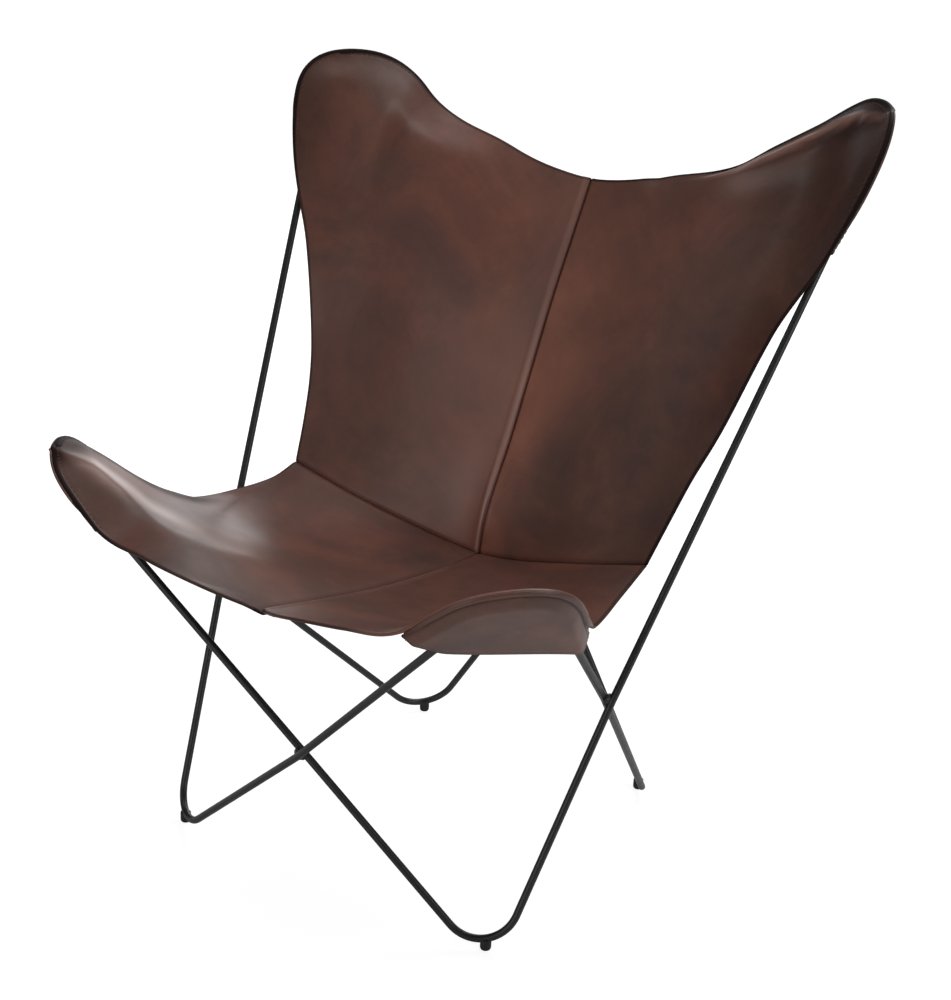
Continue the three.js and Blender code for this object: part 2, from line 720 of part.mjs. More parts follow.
const tapeStartRow = (seam) => (panelRows * seamTapeHalfWidth * tapeClearanceFactor) / seam.getLength();
addMesh('back_seam_tape', centreTape('back', tapeStartRow(backSeam), panelRows * tapeEndShare), leatherBack);
addMesh('seat_seam_tape', centreTape('seat', tapeStartRow(seatSeam), panelRows * tapeEndShare), leatherBack);
addMesh('cross_seam_tape', crossTape(), leatherBack);

// The floor stays at zero; the middle of the outline's width and depth moves to the origin
const outline = new THREE.Box3().setFromObject(chair);
const middle = outline.getCenter(new THREE.Vector3());
chair.children.forEach((mesh) => mesh.geometry.translate(-middle.x, -middle.y, -outline.min.z));

export default chair;
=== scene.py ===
import math

import bmesh
import bpy
import numpy as np
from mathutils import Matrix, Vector
from mathutils.kdtree import KDTree


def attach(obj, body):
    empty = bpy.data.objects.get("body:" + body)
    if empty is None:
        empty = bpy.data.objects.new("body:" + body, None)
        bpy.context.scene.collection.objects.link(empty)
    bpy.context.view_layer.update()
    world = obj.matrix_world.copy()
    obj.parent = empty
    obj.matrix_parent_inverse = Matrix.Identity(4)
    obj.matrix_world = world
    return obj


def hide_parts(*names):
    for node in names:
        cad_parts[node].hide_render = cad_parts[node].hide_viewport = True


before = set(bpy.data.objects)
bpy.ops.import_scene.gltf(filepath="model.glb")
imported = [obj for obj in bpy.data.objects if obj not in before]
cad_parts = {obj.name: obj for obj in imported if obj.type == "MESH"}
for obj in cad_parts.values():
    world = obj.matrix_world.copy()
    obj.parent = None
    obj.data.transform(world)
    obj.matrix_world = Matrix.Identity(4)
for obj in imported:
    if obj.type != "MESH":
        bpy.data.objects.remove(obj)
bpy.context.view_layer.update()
mm = 0.001  # the values below are millimetres, the meshes metres
originShift = (0.0, 36.7, 0.0)  # from the chair's own middle to the frame's


def node(tree, kind, values=None, **settings):
    made = tree.nodes.new(kind)
    for key, value in settings.items():
        setattr(made, key, value)
    for key, value in (values or {}).items():
        if isinstance(value, bpy.types.NodeSocket):
            tree.links.new(value, made.inputs[key])
        else:
            made.inputs[key].default_value = value
    return made


def newMaterial(name):
    material = bpy.data.materials.new(name)
    material.use_nodes = True
    material.node_tree.nodes.clear()
    return material, material.node_tree


def objectCoords(tree):
    return tree.nodes.new("ShaderNodeTexCoord").outputs["Object"]


def ramp(tree, source, stops):
    made = node(tree, "ShaderNodeValToRGB", {"Fac": source})
    while len(made.color_ramp.elements) < len(stops):
        made.color_ramp.elements.new(0.5)
    for element, (position, colour) in zip(made.color_ramp.elements, stops):
        element.position = position
        element.color = (*colour, 1)
    return made.outputs["Color"]


def mixColour(tree, kind, factor, first, second):
    first, second = (c if isinstance(c, bpy.types.NodeSocket) else (*c, 1) for c in (first, second))
    mixed = node(tree, "ShaderNodeMix", {0: factor, 6: first, 7: second}, data_type="RGBA", blend_type=kind)
    return mixed.outputs[2]


def mapRange(tree, source, low, high, toLow, toHigh):
    return node(tree, "ShaderNodeMapRange", {
        "Value": source, "From Min": low, "From Max": high, "To Min": toLow, "To Max": toHigh}).outputs["Result"]


def noise(tree, coords, scale, detail, roughness, distortion=0.0):
    return node(tree, "ShaderNodeTexNoise", {
        "Vector": coords, "Scale": scale, "Detail": detail, "Roughness": roughness,
        "Distortion": distortion}).outputs["Fac"]


def bumpOf(tree, *heights):
    below = {}
    for height, strength, distance in heights:
        made = node(tree, "ShaderNodeBump", {**below, "Height": height, "Strength": strength, "Distance": distance})
        below = {"Normal": made.outputs["Normal"]}
    return below["Normal"]


def principled(tree, values):
    shader = node(tree, "ShaderNodeBsdfPrincipled", values)
    node(tree, "ShaderNodeOutputMaterial", {"Surface": shader.outputs["BSDF"]})


# the last three tones are wear, edge dye and painted light: pale paints highlights, burnished paints edge dye and
# shade
leatherValues = {
    "dark": (0.078, 0.032, 0.024), "middle": (0.122, 0.045, 0.029), "light": (0.18, 0.064, 0.039),
    "rubbedAndLit": (0.3, 0.105, 0.064), "highlightAndWear": (0.36, 0.18, 0.135), "edgeDyeAndShadeTone": (0.014, 0.008, 0.007),
    "shine": 0.3, "highlightGloss": 0.9, "coatRoughness": 0.28, "specular": 0.45, "edgeDyeAndShadeSpecular": 0.08,
    "roughness": (0.46, 0.56), "pebbleScale": 620.0,
}


def grainLeather(name):
    v = leatherValues
    material, tree = newMaterial(name)
    coords = objectCoords(tree)
    tone = ramp(tree, noise(tree, coords, 5.2, 6.0, 0.62, 0.9),
                [(0.34, v["dark"]), (0.5, v["middle"]), (0.68, v["light"])])
    redness = ramp(tree, noise(tree, coords, 3.1, 3.0, 0.5),
                   [(0.38, (0.93, 0.98, 0.97)), (0.64, (1.12, 0.97, 0.92))])
    fine = ramp(tree, noise(tree, coords, 55.0, 6.0, 0.72),
                [(0.35, (0.82, 0.82, 0.82)), (0.65, (1.16, 1.14, 1.12))])
    colour = mixColour(tree, "MULTIPLY", 1.0, tone, redness)
    colour = mixColour(tree, "MULTIPLY", 0.5, colour, fine)
    wearAndLight = {key: node(tree, "ShaderNodeAttribute", attribute_name=key).outputs["Fac"]
            for key in ("rubAndLight", "highlightAndWear", "edgeDyeAndShade")}
    # the rubbed tone, partly wear and partly painted light, shows in cloudy edges, never as a band
    cloud = mapRange(tree, noise(tree, coords, 9.0, 5.0, 0.6, 0.5), 0.3, 0.68, 0.35, 1.35)
    rubAndLight = node(tree, "ShaderNodeMath", {0: wearAndLight["rubAndLight"], 1: cloud}, operation="MULTIPLY", use_clamp=True)
    # the pale tone is painted highlight and some wear, the rubbed tone wear and painted light, the dark tone edge dye
    # and painted shade
    for amount, tint in ((rubAndLight.outputs[0], "rubbedAndLit"), (wearAndLight["highlightAndWear"], "highlightAndWear"), (wearAndLight["edgeDyeAndShade"], "edgeDyeAndShadeTone")):
        colour = mixColour(tree, "MIX", amount, colour, v[tint])
    # where edge dye and painted shade darken the leather it is matt, and the painted highlight lines get a stronger
    # coat
    shine = mapRange(tree, wearAndLight["edgeDyeAndShade"], 0.0, 0.8, v["shine"], 0.0)
    coat = node(tree, "ShaderNodeMath", {0: wearAndLight["highlightAndWear"], 1: v["highlightGloss"], 2: shine},
                operation="MULTIPLY_ADD", use_clamp=True)
    cells = node(tree, "ShaderNodeTexVoronoi", {"Vector": coords, "Scale": v["pebbleScale"], "Randomness": 1.0},
                 feature="DISTANCE_TO_EDGE")
    principled(tree, {
        "Base Color": colour, "Coat Weight": coat.outputs[0], "Coat Roughness": v["coatRoughness"],
        "Specular IOR Level": mapRange(tree, wearAndLight["edgeDyeAndShade"], 0.0, 1.0, v["specular"], v["edgeDyeAndShadeSpecular"]),
        "Roughness": mapRange(tree, noise(tree, coords, 22.0, 4.0, 0.6), 0.3, 0.7, *v["roughness"]),
        "Normal": bumpOf(
            tree,
            (noise(tree, coords, 38.0, 5.0, 0.6, 0.4), 0.25, 0.0012),
            (noise(tree, coords, 260.0, 3.0, 0.6), 0.3, 0.0003),
            (mapRange(tree, cells.outputs["Distance"], 0.0, 0.12, 0.0, 1.0), 0.25, 0.00012)),
    })
    return material


def suedeLeather(name, dark, light):
    material, tree = newMaterial(name)
    coords = objectCoords(tree)
    tone = ramp(tree, noise(tree, coords, 14.0, 6.0, 0.7), [(0.3, dark), (0.7, light)])
    nap = ramp(tree, noise(tree, coords, 420.0, 3.0, 0.7), [(0.3, (0.82, 0.82, 0.82)), (0.7, (1.15, 1.15, 1.15))])
    principled(tree, {
        "Base Color": mixColour(tree, "MULTIPLY", 0.8, tone, nap), "Roughness": 0.92, "Specular IOR Level": 0.2,
        "Sheen Weight": 0.25, "Sheen Roughness": 0.6,
        "Normal": bumpOf(tree, (noise(tree, coords, 700.0, 3.0, 0.75), 0.6, 0.0004)),
    })
    return material


def satinBlack(name, colour, roughness, textureScale):
    material, tree = newMaterial(name)
    coords = objectCoords(tree)
    lighter = tuple(c * 1.35 for c in colour)
    principled(tree, {
        "Base Color": ramp(tree, noise(tree, coords, 90.0, 4.0, 0.6), [(0.3, colour), (0.7, lighter)]),
        "Specular IOR Level": 0.5,
        "Roughness": mapRange(tree, noise(tree, coords, 160.0, 3.0, 0.6), 0.3, 0.7,
                              roughness - 0.05, roughness + 0.06),
        "Normal": bumpOf(tree, (noise(tree, coords, textureScale, 2.0, 0.5), 0.2, 0.00012)),
    })
    return material


def waxedThread(name, dark, light):
    material, tree = newMaterial(name)
    twist = node(tree, "ShaderNodeTexWave", {"Vector": objectCoords(tree), "Scale": 900.0, "Distortion": 1.5},
                 bands_direction="DIAGONAL").outputs["Fac"]
    principled(tree, {
        "Base Color": ramp(tree, twist, [(0.2, dark), (0.8, light)]), "Roughness": 0.6, "Specular IOR Level": 0.4,
        "Normal": bumpOf(tree, (twist, 0.5, 0.0001)),
    })
    return material


slingLeather = grainLeather("slingLeather")
leatherUnderside = suedeLeather("leatherUnderside", (0.1, 0.055, 0.036), (0.17, 0.1, 0.068))
barPaint = satinBlack("barPaint", (0.012, 0.012, 0.013), 0.36, 900.0)
glidePlastic = satinBlack("glidePlastic", (0.01, 0.01, 0.011), 0.55, 500.0)
thread = waxedThread("seamThread", (0.07, 0.032, 0.022), (0.16, 0.07, 0.048))
print("materials ready")


def unit(v):
    return v / np.maximum(np.linalg.norm(v, axis=-1, keepdims=True), 1e-12)


def smooth(t):
    t = np.clip(t, 0, 1)
    return t * t * (3 - 2 * t)


def fadeOut(distance, start, width):
    return 1 - smooth((distance - start) / width)


def bell(distance, width):
    return np.exp(-((distance / width) ** 2))


def mirrored(p):
    return np.asarray(p, float) * (-1, 1, 1)


def runOf(line):
    return np.r_[0, np.cumsum(np.linalg.norm(np.diff(line, axis=0), axis=1))]


def interpolate(where, at, table):
    return np.stack([np.interp(where, at, table[:, k]) for k in range(table.shape[1])], axis=-1)


def bendAt(before, corner, after, radius):
    toBefore, toAfter = unit(before - corner), unit(after - corner)
    half = math.acos(np.clip(toBefore @ toAfter, -1, 1)) / 2
    bisector = unit(toBefore + toAfter)
    centre = corner + bisector * radius / math.sin(half)
    return {
        "centre": centre, "start": corner + toBefore * radius / math.tan(half),
        "end": corner + toAfter * radius / math.tan(half), "middle": centre - bisector * radius,
        "half": half, "bisector": bisector, "normal": unit(np.cross(toBefore, toAfter)),
        "across": unit(toBefore - toAfter),
    }


def smoothCurve(points, steps=60):
    p = np.array(points, float)
    p = np.vstack([2 * p[0] - p[1], p, 2 * p[-1] - p[-2]])
    t = np.linspace(0, 1, steps, endpoint=False)[:, None]
    dense = []
    for k in range(1, len(p) - 2):
        a, b, c, d = p[k - 1:k + 3]
        ta, tb, tc = (np.linalg.norm(q) ** 0.5 for q in (b - a, c - b, d - c))
        near = ((b - a) / ta - (c - a) / (ta + tb) + (c - b) / tb) * tb
        far = ((c - b) / tb - (d - b) / (tb + tc) + (d - c) / tc) * tb
        dense.append((2 * t**3 - 3 * t**2 + 1) * b + (t**3 - 2 * t**2 + t) * near
                     + (3 * t**2 - 2 * t**3) * c + (t**3 - t**2) * far)
    dense = np.vstack([*dense, p[-2:-1]])
    run = runOf(dense)
    return {"points": dense, "share": run / run[-1], "length": run[-1]}


def along(curve, share):
    return interpolate(share, curve["share"], curve["points"])


def between(a, b, shareOf):
    return a + (b - a) * np.asarray(shareOf, float)


def meshObject(name, points, faces, materials, faceMaterials=None, attributes=None, merge=0.0):
    mesh = bpy.data.meshes.new(name)
    placed = (np.asarray(points, float) + originShift) * mm
    mesh.from_pydata(placed.tolist(), [], [list(map(int, f)) for f in faces])
    for material in materials:
        mesh.materials.append(material)
    if faceMaterials is not None:
        mesh.polygons.foreach_set("material_index", np.asarray(faceMaterials, np.int32))
    for key, values in (attributes or {}).items():
        mesh.attributes.new(key, "FLOAT", "POINT").data.foreach_set("value", np.asarray(values, np.float32))
    mesh.polygons.foreach_set("use_smooth", [True] * len(mesh.polygons))
    made = bmesh.new()
    made.from_mesh(mesh)
    if merge:
        bmesh.ops.remove_doubles(made, verts=made.verts, dist=merge)
    bmesh.ops.recalc_face_normals(made, faces=made.faces)
    made.to_mesh(mesh)
    made.free()
    return linked(name, mesh)


def linked(name, data):
    added = bpy.data.objects.new(name, data)
    bpy.context.scene.collection.objects.link(added)
    return added


def place(piece, slotName, *nodes):
    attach(piece, "root")
    if nodes:
        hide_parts(*nodes)


def ringFaces(rings, sides, closed=False):
    faces = []
    for r in range(rings if closed else rings - 1):
        after = (r + 1) % rings
        for k in range(sides):
            n = (k + 1) % sides
            faces.append((r * sides + k, r * sides + n, after * sides + n, after * sides + k))
    return faces


# the straight rods of the frame meet at these corners, half widths from the mirror plane, and the shifts
# say how far the rods are drawn together at each crossing
frameValues = {
    "barDiameter": 9.0, "barSides": 32, "bendSteps": 22, "kinkSteps": 6,
    "footBend": 45.0, "frontHornBend": 45.0, "backHornBend": 32.0, "crossingBend": 160.0,
    "frontFoot": (240.0, -228.0, 0.0), "rearFoot": (181.0, 228.0, 0.0),
    "frontHorn": (350.0, -368.0, 548.0), "backHorn": (400.0, 272.0, 930.0),
    "frontShift": (0.0, 6.0, -27.0), "rearShift": (0.0, 0.0, -20.0), "sideShift": (4.0, -3.0, -2.0),
    "rodGap": 0.3, "weldWeb": 0.6,
}
glideValues = {
    "height": 9.5, "radius": 6.5, "flatRadius": 4.5, "shoulder": 4.0, "saddle": 4.0, "sides": 40,
    "flatEdge": 0.6, "flatRise": 0.12, "topRound": 1.2, "shoulderSteps": 10, "topSteps": 8,
}
weldValues = {"radius": 8.0, "halfThickness": 4.6, "ripples": 7, "rippleDepth": 0.35, "rings": 24, "sides": 40}
barRadius = frameValues["barDiameter"] / 2
besideCrossing = barRadius + frameValues["rodGap"] + frameValues["weldWeb"] / 2
frontHorn, backHorn, frontFoot, rearFoot = (
    np.array(frameValues[key]) for key in ("frontHorn", "backHorn", "frontFoot", "rearFoot"))


def crossing(a, b, c, d, shift, towards):
    # the point nearest to both rods, and the direction square to them
    first, second, apart = b - a, d - c, a - c
    divisor = (first @ first) * (second @ second) - (first @ second) ** 2
    s = ((first @ second) * (second @ apart) - (second @ second) * (first @ apart)) / divisor
    t = ((first @ first) * (second @ apart) - (first @ second) * (first @ apart)) / divisor
    normal = unit(np.cross(first, second))
    normal = normal if normal @ np.asarray(towards, float) > 0 else -normal
    return (a + first * s + c + second * t) / 2 + frameValues[shift], normal


crossings = {
    "front": crossing(mirrored(frontHorn), frontFoot, frontHorn, mirrored(frontFoot), "frontShift", (0, -1, 0)),
    "rear": crossing(backHorn, mirrored(rearFoot), mirrored(backHorn), rearFoot, "rearShift", (0, 1, 0)),
    "right": crossing(backHorn, frontFoot, frontHorn, rearFoot, "sideShift", (1, 0, 0)),
}
crossings["left"] = tuple(mirrored(v) for v in crossings["right"])


def beside(name, sign):
    centre, normal = crossings[name]
    return centre + normal * sign * besideCrossing


def footCorner(plan, before, after):
    corner = plan.copy()
    for _ in range(5):
        middle = bendAt(before, corner, after, frameValues["footBend"])["middle"]
        corner[2] += glideValues["height"] + barRadius - middle[2]
    return corner


def loopCorners(side):
    put, across = (np.asarray, mirrored) if side > 0 else (mirrored, np.asarray)
    front, rear = put(beside("front", -side)), put(beside("rear", side))
    outer, inner = beside("right", 1), beside("right", -1)
    v = frameValues
    kink, foot = (v["crossingBend"], v["kinkSteps"], None), (v["footBend"], v["bendSteps"])
    return [
        (across(frontHorn), v["frontHornBend"], v["bendSteps"], None), (front, *kink),
        (put(footCorner(frontFoot, front, outer)), *foot, "front"), (put(outer), *kink),
        (put(backHorn), v["backHornBend"], v["bendSteps"], None), (rear, *kink),
        (across(footCorner(rearFoot, rear, inner)), *foot, "rear"), (across(inner), *kink),
    ]


def roundedLoop(corners):
    points, feet = [], []
    for k, (corner, radius, steps, foot) in enumerate(corners):
        bend = bendAt(corners[k - 1][0], corner, corners[(k + 1) % len(corners)][0], radius)
        arm, end = bend["start"] - bend["centre"], bend["end"] - bend["centre"]
        turn = math.pi - 2 * bend["half"]
        axis = unit(np.cross(arm, end))
        for step in range(steps + 1):
            angle = turn * step / steps
            points.append(bend["centre"] + arm * math.cos(angle) + np.cross(axis, arm) * math.sin(angle))
        if foot:
            feet.append((foot, bend["middle"]))
    return np.array(points), feet


def closedBar(points, radius, sides):
    count = len(points)
    ahead, behind = unit(np.roll(points, -1, 0) - points), unit(points - np.roll(points, 1, 0))
    tangents = unit(ahead + behind)
    normals = [unit(np.array([0, 0, 1.0]) - tangents[0] * tangents[0][2])]
    for k in range(1, count):
        normals.append(unit(normals[-1] - tangents[k] * (normals[-1] @ tangents[k])))
    last = unit(normals[-1] - tangents[0] * (normals[-1] @ tangents[0]))
    twist = math.atan2(last @ np.cross(tangents[0], normals[0]), last @ normals[0])
    normals = np.array(normals)
    binormals = np.cross(tangents, normals)
    angles = 2 * np.pi * np.arange(sides)[None, :] / sides - twist * np.arange(count)[:, None] / count
    ring = normals[:, None] * np.cos(angles)[..., None] + binormals[:, None] * np.sin(angles)[..., None]
    return (points[:, None] + radius * ring).reshape(-1, 3), ringFaces(count, sides, closed=True)


feetMiddles = {}
for sideName, side in (("right", 1), ("left", -1)):
    line, feet = roundedLoop(loopCorners(side))
    bar = meshObject(f"bentBarLoop_{sideName}", *closedBar(line, barRadius, frameValues["barSides"]), [barPaint])
    place(bar, "steel", f"frame_loop_{sideName}")
    for foot, middle in feet:
        feetMiddles[f"{foot}_{'right' if middle[0] > 0 else 'left'}"] = middle
print("frame loops ready")


def glideObject(name, rest):
    v = glideValues
    top = rest[2] - barRadius + v["saddle"]
    profile = [(v["flatRadius"] - v["flatEdge"], 0.0), (v["flatRadius"], v["flatRise"])]
    for k in range(1, v["shoulderSteps"] + 1):
        angle = math.pi / 2 * k / v["shoulderSteps"]
        profile.append((v["flatRadius"] + (v["radius"] - v["flatRadius"]) * math.sin(angle),
                        v["flatRise"] + v["shoulder"] * (1 - math.cos(angle))))
    for k in range(1, v["topSteps"] + 1):
        angle = math.pi / 2 * k / v["topSteps"]
        profile.append((v["radius"] - v["topRound"] * (1 - math.cos(angle)),
                        top - v["topRound"] + v["topRound"] * math.sin(angle)))
    verts, rings, sides = [], len(profile), v["sides"]
    for radius, height in profile:
        for k in range(sides):
            angle = 2 * math.pi * k / sides
            verts.append((rest[0] + radius * math.cos(angle), rest[1] + radius * math.sin(angle), height))
    verts += [(rest[0], rest[1], 0.0), (rest[0], rest[1], top)]
    faces = ringFaces(rings, sides)
    for k in range(sides):
        n = (k + 1) % sides
        faces.append((k, n, rings * sides))
        faces.append(((rings - 1) * sides + k, (rings - 1) * sides + n, rings * sides + 1))
    return meshObject(name, verts, faces, [glidePlastic])


for name, middle in feetMiddles.items():
    place(glideObject(f"floorGlide_{name}", middle), "glide", f"glide_{name}")


def weldObject(name, centre, normal):
    v = weldValues
    side = unit(np.cross(normal, (0, 0, 1.0)))
    up = np.cross(side, normal)
    verts = []
    for r in range(v["rings"] + 1):
        polar = math.pi * r / v["rings"]
        for k in range(v["sides"]):
            turn = 2 * math.pi * k / v["sides"]
            swell = 1 + v["rippleDepth"] / v["radius"] * math.sin(v["ripples"] * turn + 2.4 * math.sin(3 * polar))
            flat = v["radius"] * swell * math.sin(polar)
            verts.append(centre + side * flat * math.cos(turn) + up * flat * math.sin(turn)
                         + normal * v["halfThickness"] * math.cos(polar))
    # each pole's ring is merged into one point
    return meshObject(name, verts, ringFaces(v["rings"] + 1, v["sides"]), [barPaint], merge=1e-6)


for name, (centre, normal) in crossings.items():
    place(weldObject(f"weldBead_{name}", centre, normal), "steel", f"weld_{name}")
print("welds and glides ready")

slingValues = {
    "thickness": 3.6, "touchGap": 0.3, "lowPoint": (0.0, 70.0, 331.0), "crossSeamEnd": (258.0, 26.0, 402.0),
    "crossSeam": [(0.2, 0.14, 0.11), (0.655, 0.8, 0.63)],
    "columns": 70, "rows": 92, "edgeZone": 16.0, "edgeSteps": 12, "pushSoftness": 9.0, "settling": 40,
    "settlingCount": 44, "topSoftening": 24.0, "rimLine": 5.0, "stitchGroove": 0.3,
    "ridgeCrest": 6.5, "ridgeHeight": 2.8, "ridgeSpread": 8.0, "seamValley": 1.4,
    "seatStep": 3.2, "seatStepWidth": 16.0, "seatValley": 1.6, "seatLip": 1.4,
    "crossValley": 1.5, "crossValleyWidth": 6.0, "sewnSpread": 0.14, "seamRound": 0.15, "lipRound": 0.9,
}
# how far each change of a horn's rim reaches over the leather
rimSpreads = {"rounding": 25.0, "lean": 75.0, "reach": 16.0, "rise": 16.0, "inset": 30.0}
# each part of the sling: its horn, and the points that its borders pass, as shares of their length; a lobe's
# points are in the horn's own directions, as shares of the pocket's length
partValues = {
    "back": {
        "horn": backHorn, "bend": frameValues["backHornBend"], "sidePoint": 1, "innerPoint": "rear",
        "outward": (1, 1, 0), "margin": 30.0, "pocketLength": 190.0, "mouth": (0.705, 0.7), "sign": 1,
        "centre": (0.0, 281.0, 765.0), "dip": 35.0,
        "seam": [(0.05, 0.11), (0.275, 0.311), (0.46, 0.5), (0.65, 0.694), (0.87, 0.889)],
        "side": [(0.1, 0.226, 0.15), (0.21, 0.427, 0.296), (0.36, 0.605, 0.44), (0.75, 0.887, 0.806)],
        "end": [(0.25, 0.17, 0.42), (0.46, 0.383, 0.65), (0.663, 0.585, 1), (0.82, 0.755, 0.74)],
        "sideLobe": [(0.06, 0.17, 0), (0.17, 0.28, 0), (0.35, 0.34, 0), (0.65, 0.385, 0), (1, 0.385, 0.01)],
        "endLobe": [(0.03, -0.2, 0), (0.12, -0.385, 0.02), (0.26, -0.51, 0.1)],
    },
    "seat": {
        "horn": frontHorn, "bend": frameValues["frontHornBend"], "sidePoint": -1, "innerPoint": "front",
        "outward": (1, -1, 0), "margin": 16.0, "pocketLength": 150.0, "mouth": (0.51, 0.6), "sign": -1,
        "centre": (0.0, -346.0, 397.0), "dip": None,
        "seam": [(0.2, 0.085), (0.43, 0.26), (0.69, 0.565)],
        "side": [(0.06, 0.2, -0.3), (0.48, 0.7, -0.19), (0.75, 0.87, 0.4)],
        "end": [(0.17, 0.6, 0.23), (0.43, 1.2, 0.55), (0.67, 1.18, 0.66), (0.86, 1, 0.74)],
        "sideLobe": [(0.05, 0.24, 0), (0.15, 0.39, 0), (0.35, 0.52, 0.01), (0.7, 0.62, 0.05)],
        "endLobe": [(0.04, -0.27, 0), (0.13, -0.43, 0), (0.3, -0.57, 0), (0.52, -0.73, 0)],
    },
}
# each horn, its side edge before its other edge: how far inside the rim the leather lies on the bar, how far
# back the rim sits, how deep the pocket's ends are tucked in, and by distance from the tip how far the rim
# reaches up, rises forward and comes in
level = [(0, 0), (400, 0)]
plainHorn = {
    "lean": 0.0, "fold": 0.0, "ridge": 0.0, "dome": 0.0,
    "reach": (level, level), "rise": (level, level), "inset": (level, level),
}
hornShapes = {
    ("back", "right"): {
        **plainHorn, "lean": 15.0, "crest": (30.0, 13.0), "rimOut": (2.0, 5.0), "fold": 1.0, "ridge": 3.0,
        "tuck": (6.0, 6.0),
        "reach": ([(0, 8), (90, 6), (160, 0), (400, 0)],
                  [(0, 18), (60, 24), (108, 19), (135, 9), (165, 0), (400, 0)]),
        "rise": (level, [(0, 6), (50, 13), (110, 13), (145, 8), (178, 0), (400, 0)]),
    },
    ("back", "left"): {
        **plainHorn, "lean": -4.0, "crest": (34.0, 48.0), "rimOut": (3.0, 7.0), "tuck": (6.0, 6.0),
        "reach": (level, [(0, 0), (60, 4), (110, 5), (160, 6), (210, 3), (260, 0), (400, 0)]),
    },
    ("seat", "right"): {
        **plainHorn, "crest": (17.0, 17.0), "rimOut": (1.0, 1.0), "tuck": (5.0, 4.0),
        "inset": ([(0, 2), (50, 6), (110, 7), (180, 0), (400, 0)], [(0, 2), (60, 0), (400, 0)]),
    },
    ("seat", "left"): {
        **plainHorn, "lean": -5.0, "crest": (30.0, 44.0), "rimOut": (2.0, 6.0), "tuck": (5.0, 14.0), "dome": 15.5,
        "rise": ([(0, 0), (60, 4), (105, 2), (150, -4), (175, -3), (200, -1), (240, -3), (300, 0), (400, 0)], level),
    },
}
domeValues = {
    "peak": 0.31, "fullWidth": 150.0, "widest": 1.35, "near": 170.0, "far": 360.0,
    "crestShare": 0.38, "crestSwing": 0.13, "crestBend": 150.0, "crestSpread": 38.0, "crestFall": 0.06,
    "shadeWidth": 38.0, "shadeLength": 260.0,
}
lift = barRadius + slingValues["thickness"] / 2 + slingValues["touchGap"]


def hornAxes(v, sign):
    bend = bendAt(beside("right", v["sidePoint"]), v["horn"], beside(v["innerPoint"], sign), v["bend"])
    out = bend["normal"] if bend["normal"] @ np.asarray(v["outward"], float) > 0 else -bend["normal"]
    return {
        "corner": v["horn"], "along": bend["bisector"], "out": out, "across": bend["across"],
        "tip": (bend["middle"] - v["horn"]) @ bend["bisector"] - barRadius - v["margin"],
    }


def inHorn(horn, points):
    local = points - horn["corner"]
    return local @ horn["along"], local @ horn["across"], local @ horn["out"]


def softened(line, run, spread, step=1.5):
    # corners are rounded over about twice the spread, along the line's length
    even = np.linspace(0, run[-1], int(run[-1] / step))
    path = interpolate(even, run, line)
    reach = int(3 * spread / step)
    weights = np.exp(-0.5 * (np.arange(-reach, reach + 1) * step / spread) ** 2)
    padded = np.vstack([2 * path[0] - path[reach:0:-1], path, 2 * path[-1] - path[-2:-reach - 2:-1]])
    smoothed = [np.convolve(column, weights / weights.sum(), "valid") for column in padded.T]
    return interpolate(run, even, np.stack(smoothed, axis=-1))


def rimOf(sheet, count=260):
    # the rim in the horn's own plane: up its side edge to the tip, and back along its other edge
    rim = np.vstack([patchPoints(sheet, 1.0, np.linspace(0.3, 1, count)),
                     patchPoints(sheet, np.linspace(1, 0.25, count), 1.0)[1:]])
    a, b, c = inHorn(sheet["horn"], rim)
    flat = np.stack([a, b], axis=-1)
    rounding = softened(flat, runOf(flat), 13.0) - flat
    turn = smooth((np.arange(len(flat)) / len(flat) - 0.34) / 0.32)
    columns = np.column_stack([flat, c, rounding, turn])
    return columns[:count], columns[count - 1:]


def besideEdge(edge, a, b):
    # how far points are from one edge of a horn, and the edge's values beside them
    query = np.stack([a.ravel(), b.ravel()], axis=-1)
    best, found = np.full(len(query), 1e9), np.zeros((len(query), 4))
    for first, last in zip(edge[:-1], edge[1:]):
        step = last[:2] - first[:2]
        t = np.clip(((query - first[:2]) @ step) / max(step @ step, 1e-9), 0, 1)
        d = np.linalg.norm(query - first[:2] - t[:, None] * step, axis=1)
        closer = d < best
        best = np.where(closer, d, best)
        found[closer] = first[2:] + t[closer, None] * (last[2:] - first[2:])
    return best.reshape(a.shape), found.reshape(*a.shape, 4)


def rimBeside(sheet, a, b):
    # distances to both edges of the horn, and the rim's values blended from one edge to the other
    (sideAway, sideValues), (otherAway, otherValues) = (besideEdge(edge, a, b) for edge in sheet["rim"])
    share = ((sideAway + 0.01) / (sideAway + otherAway + 0.02))[..., None]
    values = sideValues * (1 - share) + otherValues * share
    fromTip = np.hypot(a - sheet["horn"]["tip"], b)
    return {"side": sideAway, "other": otherAway, "away": np.minimum(sideAway, otherAway), "fromTip": fromTip,
            "level": values[..., 0], "rounding": values[..., 1:3], "turn": values[..., 3],
            "fade": fadeOut(fromTip / sheet["pocketLength"], 0.85, 0.5)}


def rollOver(shape, rim, start=2.5):
    # 0 on the sewn rim, 1 where the leather lies on the bar
    rolled = 1.0
    for edge, crest, sharp in zip(("side", "other"), shape["crest"], (0.0, shape["fold"])):
        t = np.clip((rim[edge] - start) / (crest - start), 0, 1)
        rolled = rolled * ((0.55 * smooth(t) + 0.45 * np.sin(t * math.pi / 2)) * (1 - sharp) + t * sharp)
    return rolled


def turned(rim, pair):
    return pair[0] * (1 - rim["turn"]) + pair[1] * rim["turn"]


def tableValue(rim, tables):
    values = []
    for table in tables:
        dense = smoothCurve([(*pair, 0) for pair in table])["points"]
        values.append(np.interp(rim["fromTip"], np.maximum.accumulate(dense[:, 0]), dense[:, 1]))
    return turned(rim, values)


